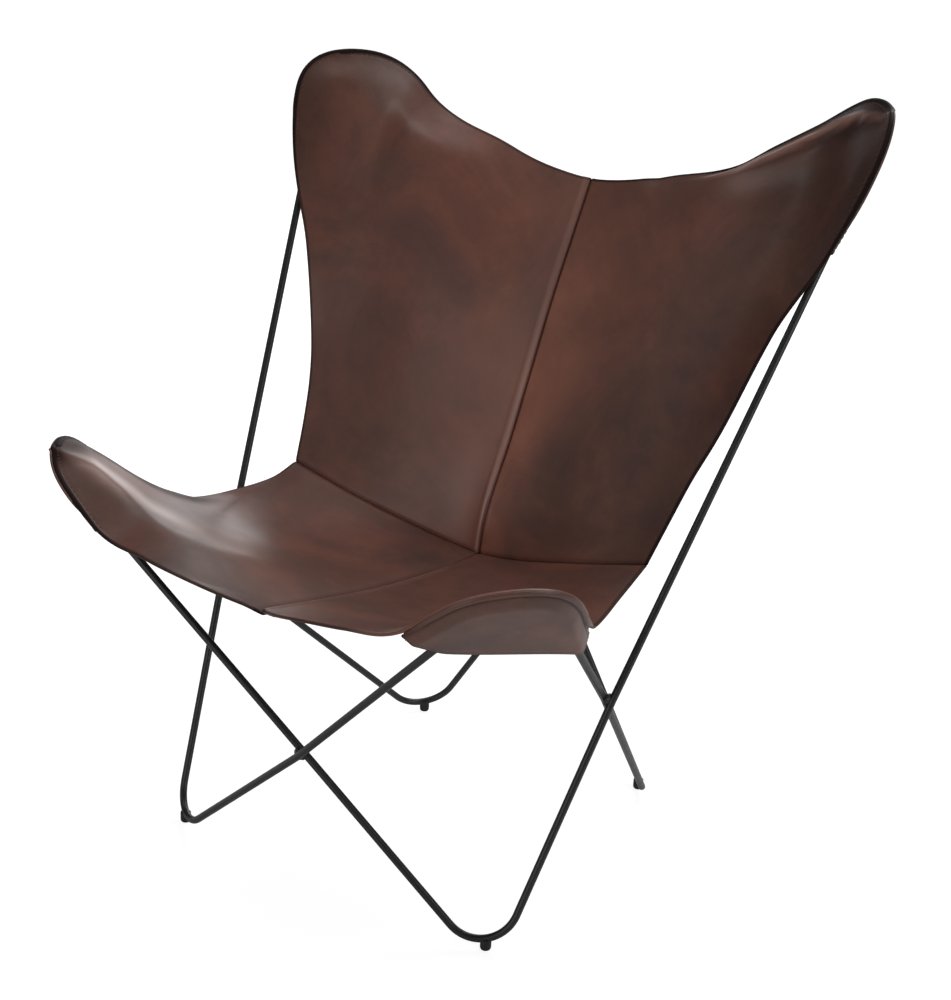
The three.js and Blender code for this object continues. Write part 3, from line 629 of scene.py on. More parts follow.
def rimLift(shape, rim):
    stitched = turned(rim, shape["rimOut"]) - (slingValues["thickness"] + slingValues["touchGap"]) / 2
    return (stitched + lift) * rim["fade"]


def nearBoth(rim, spread):
    side, other = bell(rim["side"], spread), bell(rim["other"], spread)
    return side + other - side * other


def hornShift(horn, shape, rim):
    # the rim's rounding at the tip, and how far this horn's leather reaches past the mirrored shape
    s = rimSpreads
    rounding = rim["rounding"] * (rim["fade"] * np.exp(-rim["away"] / s["rounding"]))[..., None]
    reach, rise, inset = (tableValue(rim, shape[k]) * nearBoth(rim, s[k]) for k in ("reach", "rise", "inset"))
    up = shape["lean"] * bell(rim["fromTip"], s["lean"]) + reach
    return ((rounding[..., 0] - up)[..., None] * horn["along"]
            + (rounding[..., 1] - inset)[..., None] * horn["across"] - rise[..., None] * horn["out"])


def domeRise(sheet, height, b, a, rim):
    # stiff leather arches up between the bars, highest near its other edge
    v = domeValues
    sideAt, otherAt = (np.interp(a, np.maximum.accumulate(edge[:, 0]), edge[:, 1])
                       for edge in (sheet["rim"][0][::-1], sheet["rim"][1]))
    width = np.maximum(sideAt - otherAt, 1)
    share = rim["archShare"] = np.clip((b - otherAt) / width, 0, 1)
    up = np.clip(share / v["peak"], 0, 1)
    down = np.clip((share - v["peak"]) / (1 - v["peak"]), 0, 1)
    arch = ((0.7 * np.sin(math.pi / 2 * up) + 0.3 * smooth(up))
            * (0.6 * (1 - down) + 0.4 * np.cos(math.pi / 2 * down)))
    fade = fadeOut(rim["fromTip"], v["near"], v["far"] - v["near"])
    return height * arch * np.clip(width / v["fullWidth"], 0, v["widest"]) * fade


def rolledPanel(sheet, shape, points):
    horn = sheet["horn"]
    a, b, _ = inHorn(horn, points)
    rim = rimBeside(sheet, a, b)
    lifted = rimLift(shape, rim) * (1 - rollOver(shape, rim))
    if shape["ridge"]:
        line = bell(rim["other"] - shape["crest"][1], 4.5) * smooth(rim["side"] / 20)
        lifted = lifted - shape["ridge"] * line * fadeOut(rim["fromTip"], 100, 110)
    if shape["dome"]:
        lifted = lifted - domeRise(sheet, shape["dome"], b, a, rim)
    return points + lifted[..., None] * horn["out"] + hornShift(horn, shape, rim), rim


def hornPoint(horn, alongBy, acrossBy, outBy):
    return horn["corner"] + horn["along"] * alongBy + horn["across"] * acrossBy + horn["out"] * outBy


def lobePoints(horn, table, length):
    return [hornPoint(horn, horn["tip"] + a * length, b * length, -lift - c * length) for a, b, c in table]


def lobeEdge(start, table, lobe, tip, dip=None):
    passed = []
    for x, y, z in table:
        point = between(start, lobe[-1], (x, y, z) if dip is None else (x, x, y))
        if dip is not None:
            point[1] -= z * dip
        passed.append(point)
    return smoothCurve([start, *passed, *lobe[::-1], tip])


def patchPoints(sheet, u, v):
    seam, edge, near, far = sheet["borders"]
    u, v = np.broadcast_arrays(np.asarray(u, float), np.asarray(v, float))
    a, b = u[..., None], v[..., None]
    corners = [along(near, 0.0), along(near, 1.0), along(far, 0.0), along(far, 1.0)]
    points = along(seam, v) * (1 - a) + along(edge, v) * a + along(near, u) * (1 - b) + along(far, u) * b
    for corner, weight in zip(corners, ((1 - a) * (1 - b), a * (1 - b), (1 - a) * b, a * b)):
        points = points - corner * weight
    # the leather is pushed clear of the bars near its horn
    alongBy, _, outBy = inHorn(sheet["horn"], points)
    fade = fadeOut((alongBy - sheet["horn"]["tip"]) / sheet["pocketLength"], 1, 1)
    over = outBy + lift
    push = -(over + np.sqrt(over**2 + slingValues["pushSoftness"] ** 2)) / 2 * fade
    return points + push[..., None] * sheet["horn"]["out"]


lowPoint, crossEnd = np.array(slingValues["lowPoint"]), np.array(slingValues["crossSeamEnd"])
centres = {part: np.array(v["centre"]) for part, v in partValues.items()}
seams = {part: smoothCurve([lowPoint, *[between(lowPoint, centres[part], (0, y, z)) for y, z in v["seam"]],
                            centres[part]]) for part, v in partValues.items()}
crossSeam = smoothCurve([lowPoint, *[between(lowPoint, crossEnd, s) for s in slingValues["crossSeam"]], crossEnd])


def halfSling(sign):
    half = {}
    for part, v in partValues.items():
        horn = hornAxes(v, sign)
        tip, length = hornPoint(horn, horn["tip"], 0, -lift), v["pocketLength"]
        side = lobeEdge(crossEnd, v["side"], lobePoints(horn, v["sideLobe"], length), tip)
        end = lobeEdge(centres[part], v["end"], lobePoints(horn, v["endLobe"], length), tip, v["dip"])
        half[part] = {"borders": (seams[part], side, crossSeam, end), "horn": horn, "pocketLength": length,
                      "sign": v["sign"]}
    return half


def borderShares(length, count):
    zone = slingValues["edgeZone"] / length
    near = zone * np.linspace(0, 1, slingValues["edgeSteps"]) ** 1.15
    return np.r_[near, np.linspace(zone, 1 - zone, count)[1:-1], 1 - near[::-1]]


def distanceTo(points, line):
    flat = points.reshape(-1, 3)
    best = np.full(len(flat), 1e9)
    for a, b in zip(line[:-1], line[1:]):
        d = b - a
        t = np.clip(((flat - a) @ d) / max(d @ d, 1e-9), 0, 1)
        best = np.minimum(best, np.linalg.norm(flat - a - t[:, None] * d, axis=1))
    return best.reshape(points.shape[:-1])


def gridNormals(points, sign=1):
    du, dv = np.gradient(points, axis=1), np.gradient(points, axis=0)
    return unit(np.cross(du, dv) * sign)


def shellObject(name, points, normals, upper, lower, edgeRound, sewnEdge, wearAndLight, flip, steps=8):
    # a closed shell: both faces of the leather, and between them its rounded edge, turned under where sewn
    rows, columns = points.shape[:2]
    top, bottom = points + normals * upper[..., None], points - normals * lower[..., None]
    loop = [(0, i) for i in range(columns)] + [(j, columns - 1) for j in range(1, rows)]
    loop += [(rows - 1, i) for i in range(columns - 2, -1, -1)] + [(j, 0) for j in range(rows - 2, 0, -1)]
    js, iis = np.array(loop).T
    rim, rimNormal = points[js, iis], normals[js, iis]
    outward = unit(np.cross(unit(np.roll(rim, -1, 0) - np.roll(rim, 1, 0)), rimNormal))
    if np.sum((rim - points[rows // 2, columns // 2]) * outward) < 0:
        outward = -outward
    edgeTop, edgeBottom = top[js, iis], bottom[js, iis]
    centre, halfHeight = (edgeTop + edgeBottom) / 2, (edgeTop - edgeBottom) / 2
    sewnRim, reach = sewnEdge[js, iis][:, None], edgeRound[js, iis][:, None]
    rings = []
    for k in range(1, steps):
        angle, quarter = math.pi * k / steps, math.pi / 2 * k / (steps - 1)
        height = math.cos(angle) * (1 - sewnRim) + (2 * math.cos(quarter) - 1) * sewnRim
        width = reach * (math.sin(angle) * (1 - sewnRim) + 2 * math.sin(quarter) * sewnRim)
        rings.append(centre + halfHeight * height + outward * width)
    size, count = rows * columns, len(loop)
    verts = np.vstack([top.reshape(-1, 3), bottom.reshape(-1, 3), *rings])
    grid = np.arange(size).reshape(rows, columns)
    quads = np.stack([grid[:-1, :-1], grid[:-1, 1:], grid[1:, 1:], grid[1:, :-1]], axis=-1).reshape(-1, 4)
    edgeRings = [2 * size + k * count + np.arange(count) for k in range(steps - 1)]
    chain = [grid[js, iis], *edgeRings, size + grid[js, iis]]
    walls = [np.stack([a, np.roll(a, -1), np.roll(b, -1), b], axis=-1) for a, b in zip(chain[:-1], chain[1:])]
    faces = np.vstack([quads, quads[:, ::-1] + size, *walls])
    kinds = np.r_[np.zeros(len(quads)), np.ones(len(quads)), np.zeros(sum(map(len, walls)))]
    attributes = {}
    for key in ("edgeDyeAndShade", "rubAndLight", "highlightAndWear"):
        values = wearAndLight.get(key, np.zeros_like(upper))
        attributes[key] = np.r_[values.ravel(), values.ravel(), *[values[js, iis]] * (steps - 1)]
    return meshObject(name, verts * ((-1, 1, 1) if flip else (1, 1, 1)), faces, [slingLeather, leatherUnderside],
                      kinds, attributes)


def softTop(points):
    # the two top edges run into each other in a curve, not a point
    soft = slingValues["topSoftening"]
    across = np.abs(points[..., 0])
    drop = np.maximum(centres["back"][2] - points[..., 2], 0)
    points[..., 2] += 0.2 * (np.sqrt(across**2 + soft**2) - across) * np.exp(-drop / 30)
    return points


def settled(points, u, v, sheet):
    # the hide pulls tight between its borders; over the horn it keeps to the bars
    count = slingValues["settlingCount"]
    even = np.linspace(0, 1, count)
    coarse = patchPoints(sheet, even[None, :], even[:, None])
    relaxed = coarse.copy()
    for _ in range(slingValues["settling"]):
        relaxed[1:-1, 1:-1] = (relaxed[:-2, 1:-1] + relaxed[2:, 1:-1] + relaxed[1:-1, :-2] + relaxed[1:-1, 2:]) / 4
    a, b, _ = inHorn(sheet["horn"], coarse)
    free = smooth((np.hypot(a - sheet["horn"]["tip"], b) / sheet["pocketLength"] - 0.7) / 0.7)
    moved = (relaxed - coarse) * free[..., None]
    print("settled by", round(float(np.linalg.norm(moved, axis=-1).max()), 1), "mm")
    byRow = np.stack([interpolate(v, even, moved[:, i]) for i in range(count)])
    return points + np.stack([interpolate(u, even, byRow[:, j]) for j in range(len(v))])


def seatDip(seamAway, towardsFront):
    # the seat's left panel runs down a little to the seam, where the right one's edge stands on it
    v = slingValues
    return v["seatStep"] * bell(seamAway, v["seatStepWidth"]) * smooth((towardsFront - 0.06) / 0.3)


def panelShape(sheet, part, side):
    seam, edge, near, far = sheet["borders"]
    u = borderShares((near["length"] + far["length"]) / 2, slingValues["columns"])
    v = borderShares((seam["length"] + edge["length"]) / 2, slingValues["rows"])
    sheet["rim"] = rimOf(sheet)
    points = settled(patchPoints(sheet, u[None, :], v[:, None]), u, v, sheet)
    points, rim = rolledPanel(sheet, hornShapes[part, side], points)
    if part == "back":
        points = softTop(points)
    if (part, side) == ("seat", "left"):
        points[..., 2] -= seatDip(distanceTo(points, points[:, 0]), v[:, None])
    normals = gridNormals(points, sheet["sign"])
    normals[:, 0, 0] = 0
    nearTip = fadeOut(np.linalg.norm(points - points[-1, -1], axis=-1), 0, 12)[..., None]
    normals = unit(normals * (1 - nearTip) - sheet["horn"]["out"] * nearTip)
    return {"points": points, "normals": normals, "u": u, "v": v, "sheet": sheet, "rim": rim,
            "free": np.minimum(distanceTo(points, points[:, -1]), distanceTo(points, points[-1])),
            "seam": distanceTo(points, points[:, 0]), "cross": distanceTo(points, points[0])}


def panelRelief(shape, part, side):
    v, seam = slingValues, shape["seam"]
    tipAway = np.linalg.norm(shape["points"] - shape["points"][-1, -1], axis=-1)
    inPocket = smooth((1.15 - tipAway / shape["sheet"]["pocketLength"]) / 0.25)
    relief = -inPocket * v["stitchGroove"] * bell(shape["free"] - v["rimLine"], 1.2)
    relief -= v["seamValley"] * fadeOut(seam, 0, 3)
    relief -= v["crossValley"] * fadeOut(shape["cross"], 0, v["crossValleyWidth"])
    towardsFront = 0.25 + 0.75 * smooth(shape["v"][:, None] / 0.35)
    if (part, side) == ("back", "left"):
        relief += v["ridgeHeight"] * smooth(seam / 2.2) * fadeOut(seam, v["ridgeCrest"], v["ridgeSpread"])
    elif (part, side) == ("seat", "left"):
        relief -= v["seatValley"] * bell(seam, 6) * towardsFront
    elif (part, side) == ("seat", "right"):
        relief += v["seatLip"] * smooth(seam / 1.6) * fadeOut(seam, 4, 7) * towardsFront
    return v["thickness"] / 2 + relief


def paintedLightAndWearOf(shape, part, side):
    # painted highlights, painted shade, wear and edge dye on the leather, by distance from its seam, edges and horn
    # tip
    seam, free, rim, upwards = shape["seam"], shape["free"], shape["rim"], shape["v"][:, None]
    fromTip, sideAway, otherAway = rim["fromTip"], rim["side"], rim["other"]
    nearHorn = fadeOut(fromTip, 60, 150)
    # dyed dark free edges, and dark seam lines that are partly painted shade in the seams' valleys
    edgeDyeAndShade = 0.62 * fadeOut(free, 0.6, 2.2) + 0.55 * fadeOut(seam, 0, 1.8) + 0.6 * fadeOut(shape["cross"], 0, 3)
    if (part, side) == ("back", "right"):
        crestAway = otherAway - hornShapes[part, side]["crest"][1]
        alongCrest = fadeOut(fromTip, 160, 60)
        spread = 34 + 60 * smooth((upwards - 0.1) / 0.5)
        # lighter and redder towards the centre seam, partly worn and partly painted light
        rubAndLight = 0.95 * bell(seam, spread) * (0.35 + 0.65 * smooth((0.97 - upwards) / 0.4))
        # a painted highlight along the crest where the bar lifts the leather
        highlightAndWear = 0.8 * bell(crestAway - 0.5, 1.8) * alongCrest * smooth((fromTip - 12) / 25)
        # painted shade on the band between the crest and the rim, and over the horn's face
        edgeDyeAndShade += 0.85 * fadeOut(crestAway, -4, 3) * alongCrest + 0.58 * nearHorn * smooth((crestAway - 1) / 4)
        # painted shade along the free edge, away from the horn
        edgeDyeAndShade += 0.3 * bell(free, 45) * (1 - nearHorn)
    elif (part, side) == ("back", "left"):
        foot = smooth((0.32 - upwards) / 0.25)
        ridge = smooth((seam - 1.2) / 1.5) * fadeOut(seam, 7 - 4 * foot, 7 - 3 * foot)
        # lighter towards the centre seam, partly worn and partly painted light
        rubAndLight = 0.5 * bell(seam, 120) * (0.3 + 0.7 * smooth((0.85 - upwards) / 0.5))
        # the seam's ridge is paler, partly worn and partly painted highlight; a paler patch lies low beside the seam
        highlightAndWear = (0.28 + 0.3 * smooth((0.8 - upwards) / 0.4) + 0.3 * foot) * ridge
        highlightAndWear = highlightAndWear + 0.12 * bell(seam, 60)
        highlightAndWear = highlightAndWear + 0.2 * np.exp(-(((seam - 34) / 22) ** 2) - ((upwards - 0.14) / 0.12) ** 2)
        # painted shade over the horn and its side, and a darker band along its other edge
        edgeDyeAndShade += 0.42 * fadeOut(fromTip, 130, 130) * bell(sideAway, 60) + 0.1 * nearHorn
        edgeDyeAndShade += 0.6 * fadeOut(otherAway, 1.5, 5) * nearHorn
    elif (part, side) == ("seat", "left"):
        v = domeValues
        # a painted highlight along the crest of the arched horn, with painted shade on its flank and far side
        crestShare = v["crestShare"] + v["crestSwing"] * bell(fromTip - v["crestBend"], v["crestSpread"])
        crestAway = rim["archShare"] - crestShare + v["crestFall"] * smooth((fromTip - 185) / 45)
        shadeWidth = v["shadeWidth"] * np.sin(math.pi * np.clip(fromTip / v["shadeLength"], 0, 1))
        # painted shade in the dip beside the seat seam, tinted redder
        fold = smooth((seam - 0.5) / 1.5) * fadeOut(seam, 7, 9) * smooth(upwards / 0.3)
        rubAndLight = 0.35 * fold
        highlightAndWear = 0.5 * bell(crestAway, 0.085) * smooth((fromTip - 12) / 20) * fadeOut(fromTip, 140, 70)
        # painted shade in that dip, and along the side edge near the horn, partly edge dye
        edgeDyeAndShade += 0.5 * fold + 0.75 * fadeOut(sideAway, 2, 5) * fadeOut(fromTip, 150, 100)
        # painted shade on the flank below the crest
        edgeDyeAndShade += 0.48 * fadeOut(crestAway, -0.24, 0.16) * fadeOut(fromTip, 120, 90)
        # painted shade over the far side of the arch, towards its outline
        edgeDyeAndShade += 0.75 * fadeOut(sideAway - shadeWidth, 6, 26) * fadeOut(fromTip, 215, 45)
    else:
        litRimZone = fadeOut(fromTip, 165, 45)
        # a painted highlight on the rounded bead of the pocket's rim, which keeps no dark edge
        rubAndLight = 0.4 * bell(free, 6) * litRimZone
        highlightAndWear = 0.7 * bell(free - 3.2, 1.6) * litRimZone * smooth((200 - fromTip) / 60)
        # a painted highlight on the raised edge along the seam
        highlightAndWear += 0.65 * bell(seam - 2.2, 2) * smooth(upwards / 0.3)
        # a broad painted highlight near the front, beside the seam
        highlightAndWear += 0.16 * bell(seam, 70) * smooth((upwards - 0.72) / 0.2)
        edgeDyeAndShade -= 0.75 * litRimZone * fadeOut(free, 0.8, 2.4)
    return {"edgeDyeAndShade": np.clip(edgeDyeAndShade, 0, 1), "rubAndLight": rubAndLight, "highlightAndWear": highlightAndWear}


halves = {"right": halfSling(1), "left": halfSling(-1)}
panels = {}
for side, half in halves.items():
    for part in ("back", "seat"):
        shape = panels[part, side] = panelShape(half[part], part, side)
        shape["upper"] = panelRelief(shape, part, side)
        lower = np.full_like(shape["upper"], slingValues["thickness"] / 2)
        rounding = lower.copy()
        rounding[:, 0] = rounding[0, :] = slingValues["seamRound"]
        if (part, side) == ("seat", "right"):
            rounding[:, 0] = slingValues["lipRound"]
        mouth, sewnEdge = partValues[part]["mouth"], np.zeros_like(lower)
        sewnEdge[:, -1] = smooth((shape["v"] - mouth[0]) / slingValues["sewnSpread"])
        sewnEdge[-1, :] = smooth((shape["u"] - mouth[1]) / slingValues["sewnSpread"])
        shape["object"] = shellObject(
            f"{part}Leather_{side}", shape["points"], shape["normals"], shape["upper"], lower, rounding, sewnEdge,
            paintedLightAndWearOf(shape, part, side), side == "left")
        place(shape["object"], "leather", f"{part}_panel_{side}")
print("panels ready")

pocketValues = {
    "rows": 72, "hemWidth": 6.0, "tuckLength": 0.4, "sag": {"back": 8.0, "seat": 17.0},
    "hemGroove": 0.3, "rimGroove": 0.6,
    "piece": {"back": "backPocket", "seat": "frontPocket"},
    "node": {"back": "back_horn_pocket", "seat": "front_horn_pocket"},
}


def pocketShape(sheet, part, side):
    v, horn, shape, mouthAt = pocketValues, sheet["horn"], hornShapes[part, side], partValues[part]["mouth"]
    sideTuck, farTuck = shape["tuck"]

    def flat(p):
        return np.stack(inHorn(horn, p)[:2], axis=-1)

    def tuck(t, depth):
        return (depth * fadeOut(np.asarray(t, float), 0, v["tuckLength"]))[..., None] * (0.0, 1.0)

    def sideRim(t):
        return flat(patchPoints(sheet, 1.0, mouthAt[0] + (1 - mouthAt[0]) * t)) - tuck(t, sideTuck)

    def farRim(t):
        return flat(patchPoints(sheet, mouthAt[1] + (1 - mouthAt[1]) * t, 1.0)) + tuck(t, farTuck)

    def onMouth(t):
        return interpolate(t, fromFar, mouth)

    # the mouth hangs in a curve between its two ends, fuller towards the horn's inner side
    first, last, fromFar = sideRim(0.0), farRim(0.0), np.linspace(0, 1, 201)
    hang = np.sin(np.pi * fromFar) ** 0.7 if part == "back" else smooth(fromFar / 0.24) * fadeOut(fromFar, 0.2, 0.78)
    mouth = last + (first - last) * fromFar[:, None] + (v["sag"][part] * hang)[:, None] * (1.0, 0.0)
    even = 0.5 - 0.5 * np.cos(np.pi * np.linspace(0, 1, v["rows"]))
    uu, ww = np.broadcast_arrays(even[None, :], even[:, None])
    a, b = uu[..., None], ww[..., None]
    plan = (onMouth(0.5 * (1 - ww)) * (1 - a) + sideRim(ww) * a + onMouth(0.5 + 0.5 * uu) * (1 - b) + farRim(uu) * b)
    plan = plan - (onMouth(0.5) * (1 - a) * (1 - b) + first * a * (1 - b) + last * (1 - a) * b + sideRim(1.0) * a * b)
    rim = rimBeside(sheet, plan[..., 0], plan[..., 1])
    rolled = rollOver(shape, rim)
    under = slingValues["thickness"] + slingValues["touchGap"]
    height = (rim["level"] + rimLift(shape, rim) + under) * (1 - rolled) + lift * rolled
    points = horn["corner"] + plan[..., :1] * horn["along"] + plan[..., 1:] * horn["across"]
    points = points + height[..., None] * horn["out"] + hornShift(horn, shape, rim)
    normals = gridNormals(points)
    if np.sum(normals @ horn["out"]) < 0:
        normals = -normals
    mouthAway = np.minimum(distanceTo(points, points[0]), distanceTo(points, points[:, 0]))
    relief = -v["hemGroove"] * bell(mouthAway - v["hemWidth"], 1.2)
    relief -= v["rimGroove"] * bell(rim["away"] - slingValues["rimLine"], 1.6) * smooth(mouthAway / 6)
    lower = np.full_like(relief, slingValues["thickness"] / 2)
    sewnEdge = np.zeros_like(relief)
    sewnEdge[:, -1] = sewnEdge[-1] = smooth(even / 0.05)
    # dyed dark mouth edge, and a painted shade line in the groove under the rim's bead
    edgeDyeAndShade = 0.6 * fadeOut(mouthAway, 0, 2) + 0.5 * bell(rim["away"] - 3.5, 2)
    piece = shellObject(f"{v['piece'][part]}_{side}", points, normals, lower + relief, lower, lower, sewnEdge,
                        {"edgeDyeAndShade": np.clip(edgeDyeAndShade, 0, 1)}, side == "left")
    place(piece, "leather", f"{v['node'][part]}_{side}")
    return {"object": piece, "points": points, "normals": normals, "upper": lower + relief}


pockets = {}
for side, half in halves.items():
    for part in ("back", "seat"):
        pockets[part, side] = pocketShape(half[part], part, side)
print("pockets ready")

tapeValues = {"halfWidth": 11.0, "thickness": 1.6, "gap": 0.6, "start": 1.2, "end": 0.97, "steps": 90}


def tapeObject(name, points, away, nodeName):
    v, normals = tapeValues, gridNormals(points)
    if np.sum(normals @ np.array(away)) < 0:
        normals = -normals
    drop = slingValues["thickness"] / 2 + v["gap"] + v["thickness"] / 2
    half = np.full(points.shape[:2], v["thickness"] / 2)
    piece = shellObject(name, points - normals * drop, normals, half, half, half, np.zeros_like(half), {}, False)
    piece.data.materials[0] = leatherUnderside
    place(piece, "seam_tape", nodeName)
    return piece, points


def centreTapeLines(part):
    v = tapeValues
    lengthwise = np.linspace(v["halfWidth"] * v["start"] / seams[part]["length"], v["end"], v["steps"])
    columns = []
    for reach in (-1.0, -0.5, 0.0, 0.5, 1.0):
        half = halves["right" if reach >= 0 else "left"][part]
        width = np.linalg.norm(patchPoints(half, 1.0, lengthwise) - patchPoints(half, 0.0, lengthwise), axis=-1)
        column = patchPoints(half, abs(reach) * v["halfWidth"] / width, lengthwise)
        if part == "seat":
            column[:, 2] -= seatDip(0.0, lengthwise)
        columns.append(column if reach >= 0 else mirrored(column))
    return np.stack(columns, axis=1)


def crossTapeLines():
    v, rows = tapeValues, []
    for x in np.linspace(-v["end"], v["end"], 2 * v["steps"]):
        half = halves["right" if x >= 0 else "left"]
        row = []
        for part, reach in (("back", 1.0), ("back", 0.5), ("back", 0.0), ("seat", 0.5), ("seat", 1.0)):
            length = sum(border["length"] for border in half[part]["borders"][:2]) / 2
            row.append(patchPoints(half[part], abs(x), reach * v["halfWidth"] / length))
        rows.append([mirrored(p) if x < 0 else p for p in row])
    return np.array(rows)


tapes = [
    tapeObject("backSeamTape", centreTapeLines("back"), (0, -1.0, 0.3), "back_seam_tape"),
    tapeObject("seatSeamTape", centreTapeLines("seat"), (0, 0, 1.0), "seat_seam_tape"),
    tapeObject("crossSeamTape", crossTapeLines(), (0, 0, 1.0), "cross_seam_tape"),
]
print("tapes ready")

stitchValues = {"pitch": 6.5, "length": 4.4, "thread": 0.85, "ridgeLine": 2.4, "raised": 0.12, "lineSteps": 420}


def stitchTree():
    # thread beads along each path, turned to its facing attribute
    v = stitchValues
    tree = bpy.data.node_groups.new("seamStitches", "GeometryNodeTree")
    for direction in ("INPUT", "OUTPUT"):
        tree.interface.new_socket("Geometry", in_out=direction, socket_type="NodeSocketGeometry")
    given = tree.nodes.new("NodeGroupInput").outputs["Geometry"]
    curve = node(tree, "GeometryNodeMeshToCurve", {"Mesh": given}).outputs["Curve"]
    spaced = node(tree, "GeometryNodeResampleCurve", {"Curve": curve, "Length": v["pitch"] * mm}, mode="LENGTH")
    ball = node(tree, "GeometryNodeMeshUVSphere", {"Segments": 8, "Rings": 6, "Radius": 0.5}).outputs["Mesh"]
    bead = node(tree, "GeometryNodeTransform", {
        "Geometry": ball, "Scale": (v["length"] * mm, v["thread"] * mm, v["thread"] * mm)}).outputs["Geometry"]
    tangent = tree.nodes.new("GeometryNodeInputTangent").outputs["Tangent"]
    facing = node(tree, "GeometryNodeInputNamedAttribute", {"Name": "facing"}, data_type="FLOAT_VECTOR")
    turn = node(tree, "FunctionNodeAlignRotationToVector", {"Vector": tangent}, axis="X").outputs["Rotation"]
    turn = node(tree, "FunctionNodeAlignRotationToVector", {"Rotation": turn, "Vector": facing.outputs["Attribute"]},
                axis="Z", pivot_axis="X").outputs["Rotation"]
    beads = node(tree, "GeometryNodeInstanceOnPoints", {
        "Points": spaced.outputs["Curve"], "Instance": bead, "Rotation": turn}).outputs["Instances"]
    real = node(tree, "GeometryNodeRealizeInstances", {"Geometry": beads}).outputs["Geometry"]
    shaded = node(tree, "GeometryNodeSetShadeSmooth", {"Geometry": real}).outputs["Geometry"]
    painted = node(tree, "GeometryNodeSetMaterial", {"Geometry": shaded, "Material": thread}).outputs["Geometry"]
    node(tree, "NodeGroupOutput", {"Geometry": painted})
    return tree


stitches = stitchTree()


def stitchRow(name, lines):
    mesh = bpy.data.meshes.new(name + "Path")
    points, edges, facing = [], [], []
    for line, normals in lines:
        edges += [(len(points) + k, len(points) + k + 1) for k in range(len(line) - 1)]
        points += ((line + originShift) * mm).tolist()
        facing += list(normals)
    mesh.from_pydata(points, edges, [])
    vectors = mesh.attributes.new("facing", "FLOAT_VECTOR", "POINT")
    vectors.data.foreach_set("vector", np.array(facing, np.float32).ravel())
    path = linked(name + "Path", mesh)
    path.modifiers.new("stitches", "NODES").node_group = stitches
    made = bpy.data.meshes.new_from_object(path.evaluated_get(bpy.context.evaluated_depsgraph_get()))
    bpy.data.objects.remove(path)
    piece = linked(name, made)
    place(piece, "leather")
    return piece


def surfaceLookup(shape):
    top = (shape["points"] + shape["normals"] * shape["upper"][..., None]).reshape(-1, 3)
    tree = KDTree(len(top))
    for k, p in enumerate(top):
        tree.insert(p, k)
    tree.balance()
    return tree, top, shape["normals"].reshape(-1, 3)


def ontoSurface(line, lookup, above):
    tree, top, normals = lookup
    placed, facing = [], []
    for q in line:
        hits = tree.find_n(Vector(q), 4)
        ids = [h[1] for h in hits]
        weights = np.array([1 / (h[2] + 0.3) for h in hits])
        weights = weights / weights.sum()
        base, n = (top[ids] * weights[:, None]).sum(0), unit((normals[ids] * weights[:, None]).sum(0))
        placed.append(q - n * ((q - base) @ n) + n * above)
        facing.append(n)
    return np.array(placed), np.array(facing)


def evenLine(line, fromShare, toShare, count):
    run = runOf(line)
    return interpolate(np.linspace(fromShare, toShare, count) * run[-1], run, line)


def stitchLine(shape, line, distance, side):
    # the line is moved inwards over the leather, and laid on it
    _, facing = ontoSurface(line, shape["lookup"], 0)
    inward = unit(np.cross(facing, unit(np.gradient(line, axis=0))))
    rows, columns = shape["points"].shape[:2]
    if np.sum((shape["points"][rows // 2, columns // 2] - line) * inward) < 0:
        inward = -inward
    placed, facing = ontoSurface(line + inward * distance, shape["lookup"], stitchValues["raised"])
    return (placed, facing) if side == "right" else (mirrored(placed), mirrored(facing))


def rimStitches(shape, side, edge, far):
    shape["lookup"] = surfaceLookup(shape)
    line = evenLine(np.vstack([edge, far]), 0, 1, stitchValues["lineSteps"])
    return stitchLine(shape, line, slingValues["rimLine"], side)


seamRows, hornRows = [], []
for (part, side), shape in panels.items():
    points, mouth = shape["points"], partValues[part]["mouth"]
    hornRows.append(rimStitches(shape, side, points[shape["v"] >= mouth[0] + 0.01, -1],
                                points[-1, shape["u"] >= mouth[1] + 0.01][::-1][1:]))
    if (part, side) == ("back", "left"):
        line = evenLine(points[:, 0], 0.01, 0.99, 300)
        seamRows.append(stitchLine(shape, line, stitchValues["ridgeLine"], side))
    pocket = pockets[part, side]
    hornRows.append(rimStitches(pocket, side, pocket["points"][4:, -1], pocket["points"][-1, 4:-1][::-1]))
seamStitching, hornStitching = stitchRow("seamStitching", seamRows), stitchRow("hornStitching", hornRows)
print("stitches ready")


otherSide = {"right": "left", "left": "right"}
for (part, side), shape in panels.items():
    bar = [f"bentBarLoop_{side if part == 'back' else otherSide[side]}"]


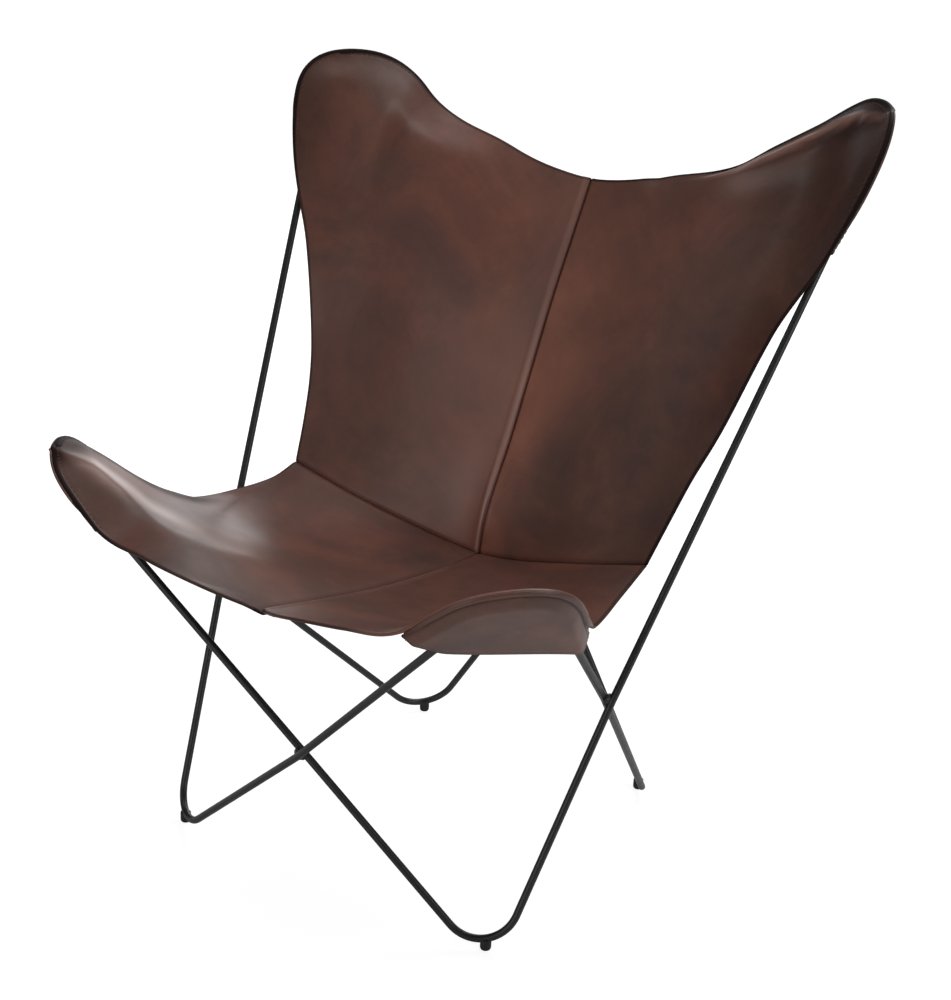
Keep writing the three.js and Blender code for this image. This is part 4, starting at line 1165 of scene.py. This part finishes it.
def studioFloor(size=9.0):
    mesh = bpy.data.meshes.new("studioFloor")
    mesh.from_pydata([(-size, -size, 0), (size, -size, 0), (size, size, 0), (-size, size, 0)], [], [(0, 1, 2, 3)])
    floor = linked("studioFloor", mesh)
    material, tree = newMaterial("paleFloor")
    # the camera sees the shadow on a white that glows a little less under the chair
    away = node(tree, "ShaderNodeVectorMath", {0: objectCoords(tree)}, operation="LENGTH").outputs["Value"]
    lit = node(tree, "ShaderNodeBsdfDiffuse", {"Color": (0.4, 0.4, 0.4, 1)})
    glow = node(tree, "ShaderNodeEmission", {
        "Color": (1, 1, 1, 1), "Strength": mapRange(tree, away, 0.6, 1.6, 0.86, 1.0)})
    seen = node(tree, "ShaderNodeAddShader", {0: lit.outputs[0], 1: glow.outputs[0]})
    plain = node(tree, "ShaderNodeBsdfDiffuse", {"Color": (0.88, 0.88, 0.88, 1)})
    cameraRay = tree.nodes.new("ShaderNodeLightPath").outputs["Is Camera Ray"]
    blend = node(tree, "ShaderNodeMixShader", {0: cameraRay, 1: plain.outputs[0], 2: seen.outputs[0]})
    node(tree, "ShaderNodeOutputMaterial", {"Surface": blend.outputs[0]})
    mesh.materials.append(material)


def studioWorld():
    world = bpy.data.worlds.new("studioWorld")
    bpy.context.scene.world = world
    world.use_nodes = True
    tree = world.node_tree
    tree.nodes.clear()
    path = tree.nodes.new("ShaderNodeLightPath").outputs
    seen = node(tree, "ShaderNodeMath", {0: path["Is Camera Ray"], 1: path["Is Transmission Ray"]},
                operation="MAXIMUM")
    fill, white = (node(tree, "ShaderNodeBackground", {"Color": (1, 1, 1, 1), "Strength": strength})
                   for strength in (0.06, 1.0))
    blend = node(tree, "ShaderNodeMixShader", {0: seen.outputs[0], 1: fill.outputs[0], 2: white.outputs[0]})
    node(tree, "ShaderNodeOutputWorld", {"Surface": blend.outputs[0]})


def softLight(name, location, size, power, target=(0, 0, 0.45)):
    lamp = bpy.data.lights.new(name, "AREA")
    lamp.shape = "RECTANGLE"
    lamp.size, lamp.size_y, lamp.energy = *size, power
    stand = linked(name, lamp)
    stand.location = location
    stand.rotation_mode = "QUATERNION"
    stand.rotation_quaternion = (Vector(target) - Vector(location)).to_track_quat("-Z", "Y")


studioFloor()
studioWorld()
softLight("frontLight", (0, -3, 1.2), (2, 2), 20)
softLight("frontLeftLight", (-2.4, -2.0, 1.5), (2, 2), 4)
softLight("rightLight", (3.2, 0, 1.5), (2, 2), 28)
softLight("topLight", (0, 0, 3.4), (2, 2), 16)
softLight("topLeftLight", (-1.4, -0.4, 3.1), (1.0, 1.0), 10)
softLight("topBackLight", (0, 2.2, 3.0), (2, 2), 50)
softLight("backWall", (0, 3.4, 1.2), (5, 2.2), 8)
softLight("backLeftLight", (-2.0, 2.9, 1.1), (2.6, 1.5), 15)
softLight("backGlow", (-1.55, 2.7, 0.95), (0.9, 0.6), 2.6)

cameraValues = {
    "location": (1275.69, -1832.5, 1299.54), "turn": (68.690, -2.649, 34.466), "focalPixels": 2020.4,
    "height": 1000, "centreOffset": (3.45, 5.67), "sensor": 36.0,
}
view = cameraValues
lens = bpy.data.cameras.new("photoCamera")
lens.sensor_width = view["sensor"]
lens.lens = view["focalPixels"] / view["height"] * view["sensor"]
lens.shift_x = -view["centreOffset"][0] / view["height"]
lens.shift_y = view["centreOffset"][1] / view["height"]
lens.clip_end = 60
camera = linked("photoCamera", lens)
camera.location = [c * mm for c in view["location"]]
camera.rotation_euler = [math.radians(a) for a in view["turn"]]
bpy.context.scene.camera = camera
bpy.context.scene.view_settings.view_transform = "Standard"
print("studio ready")
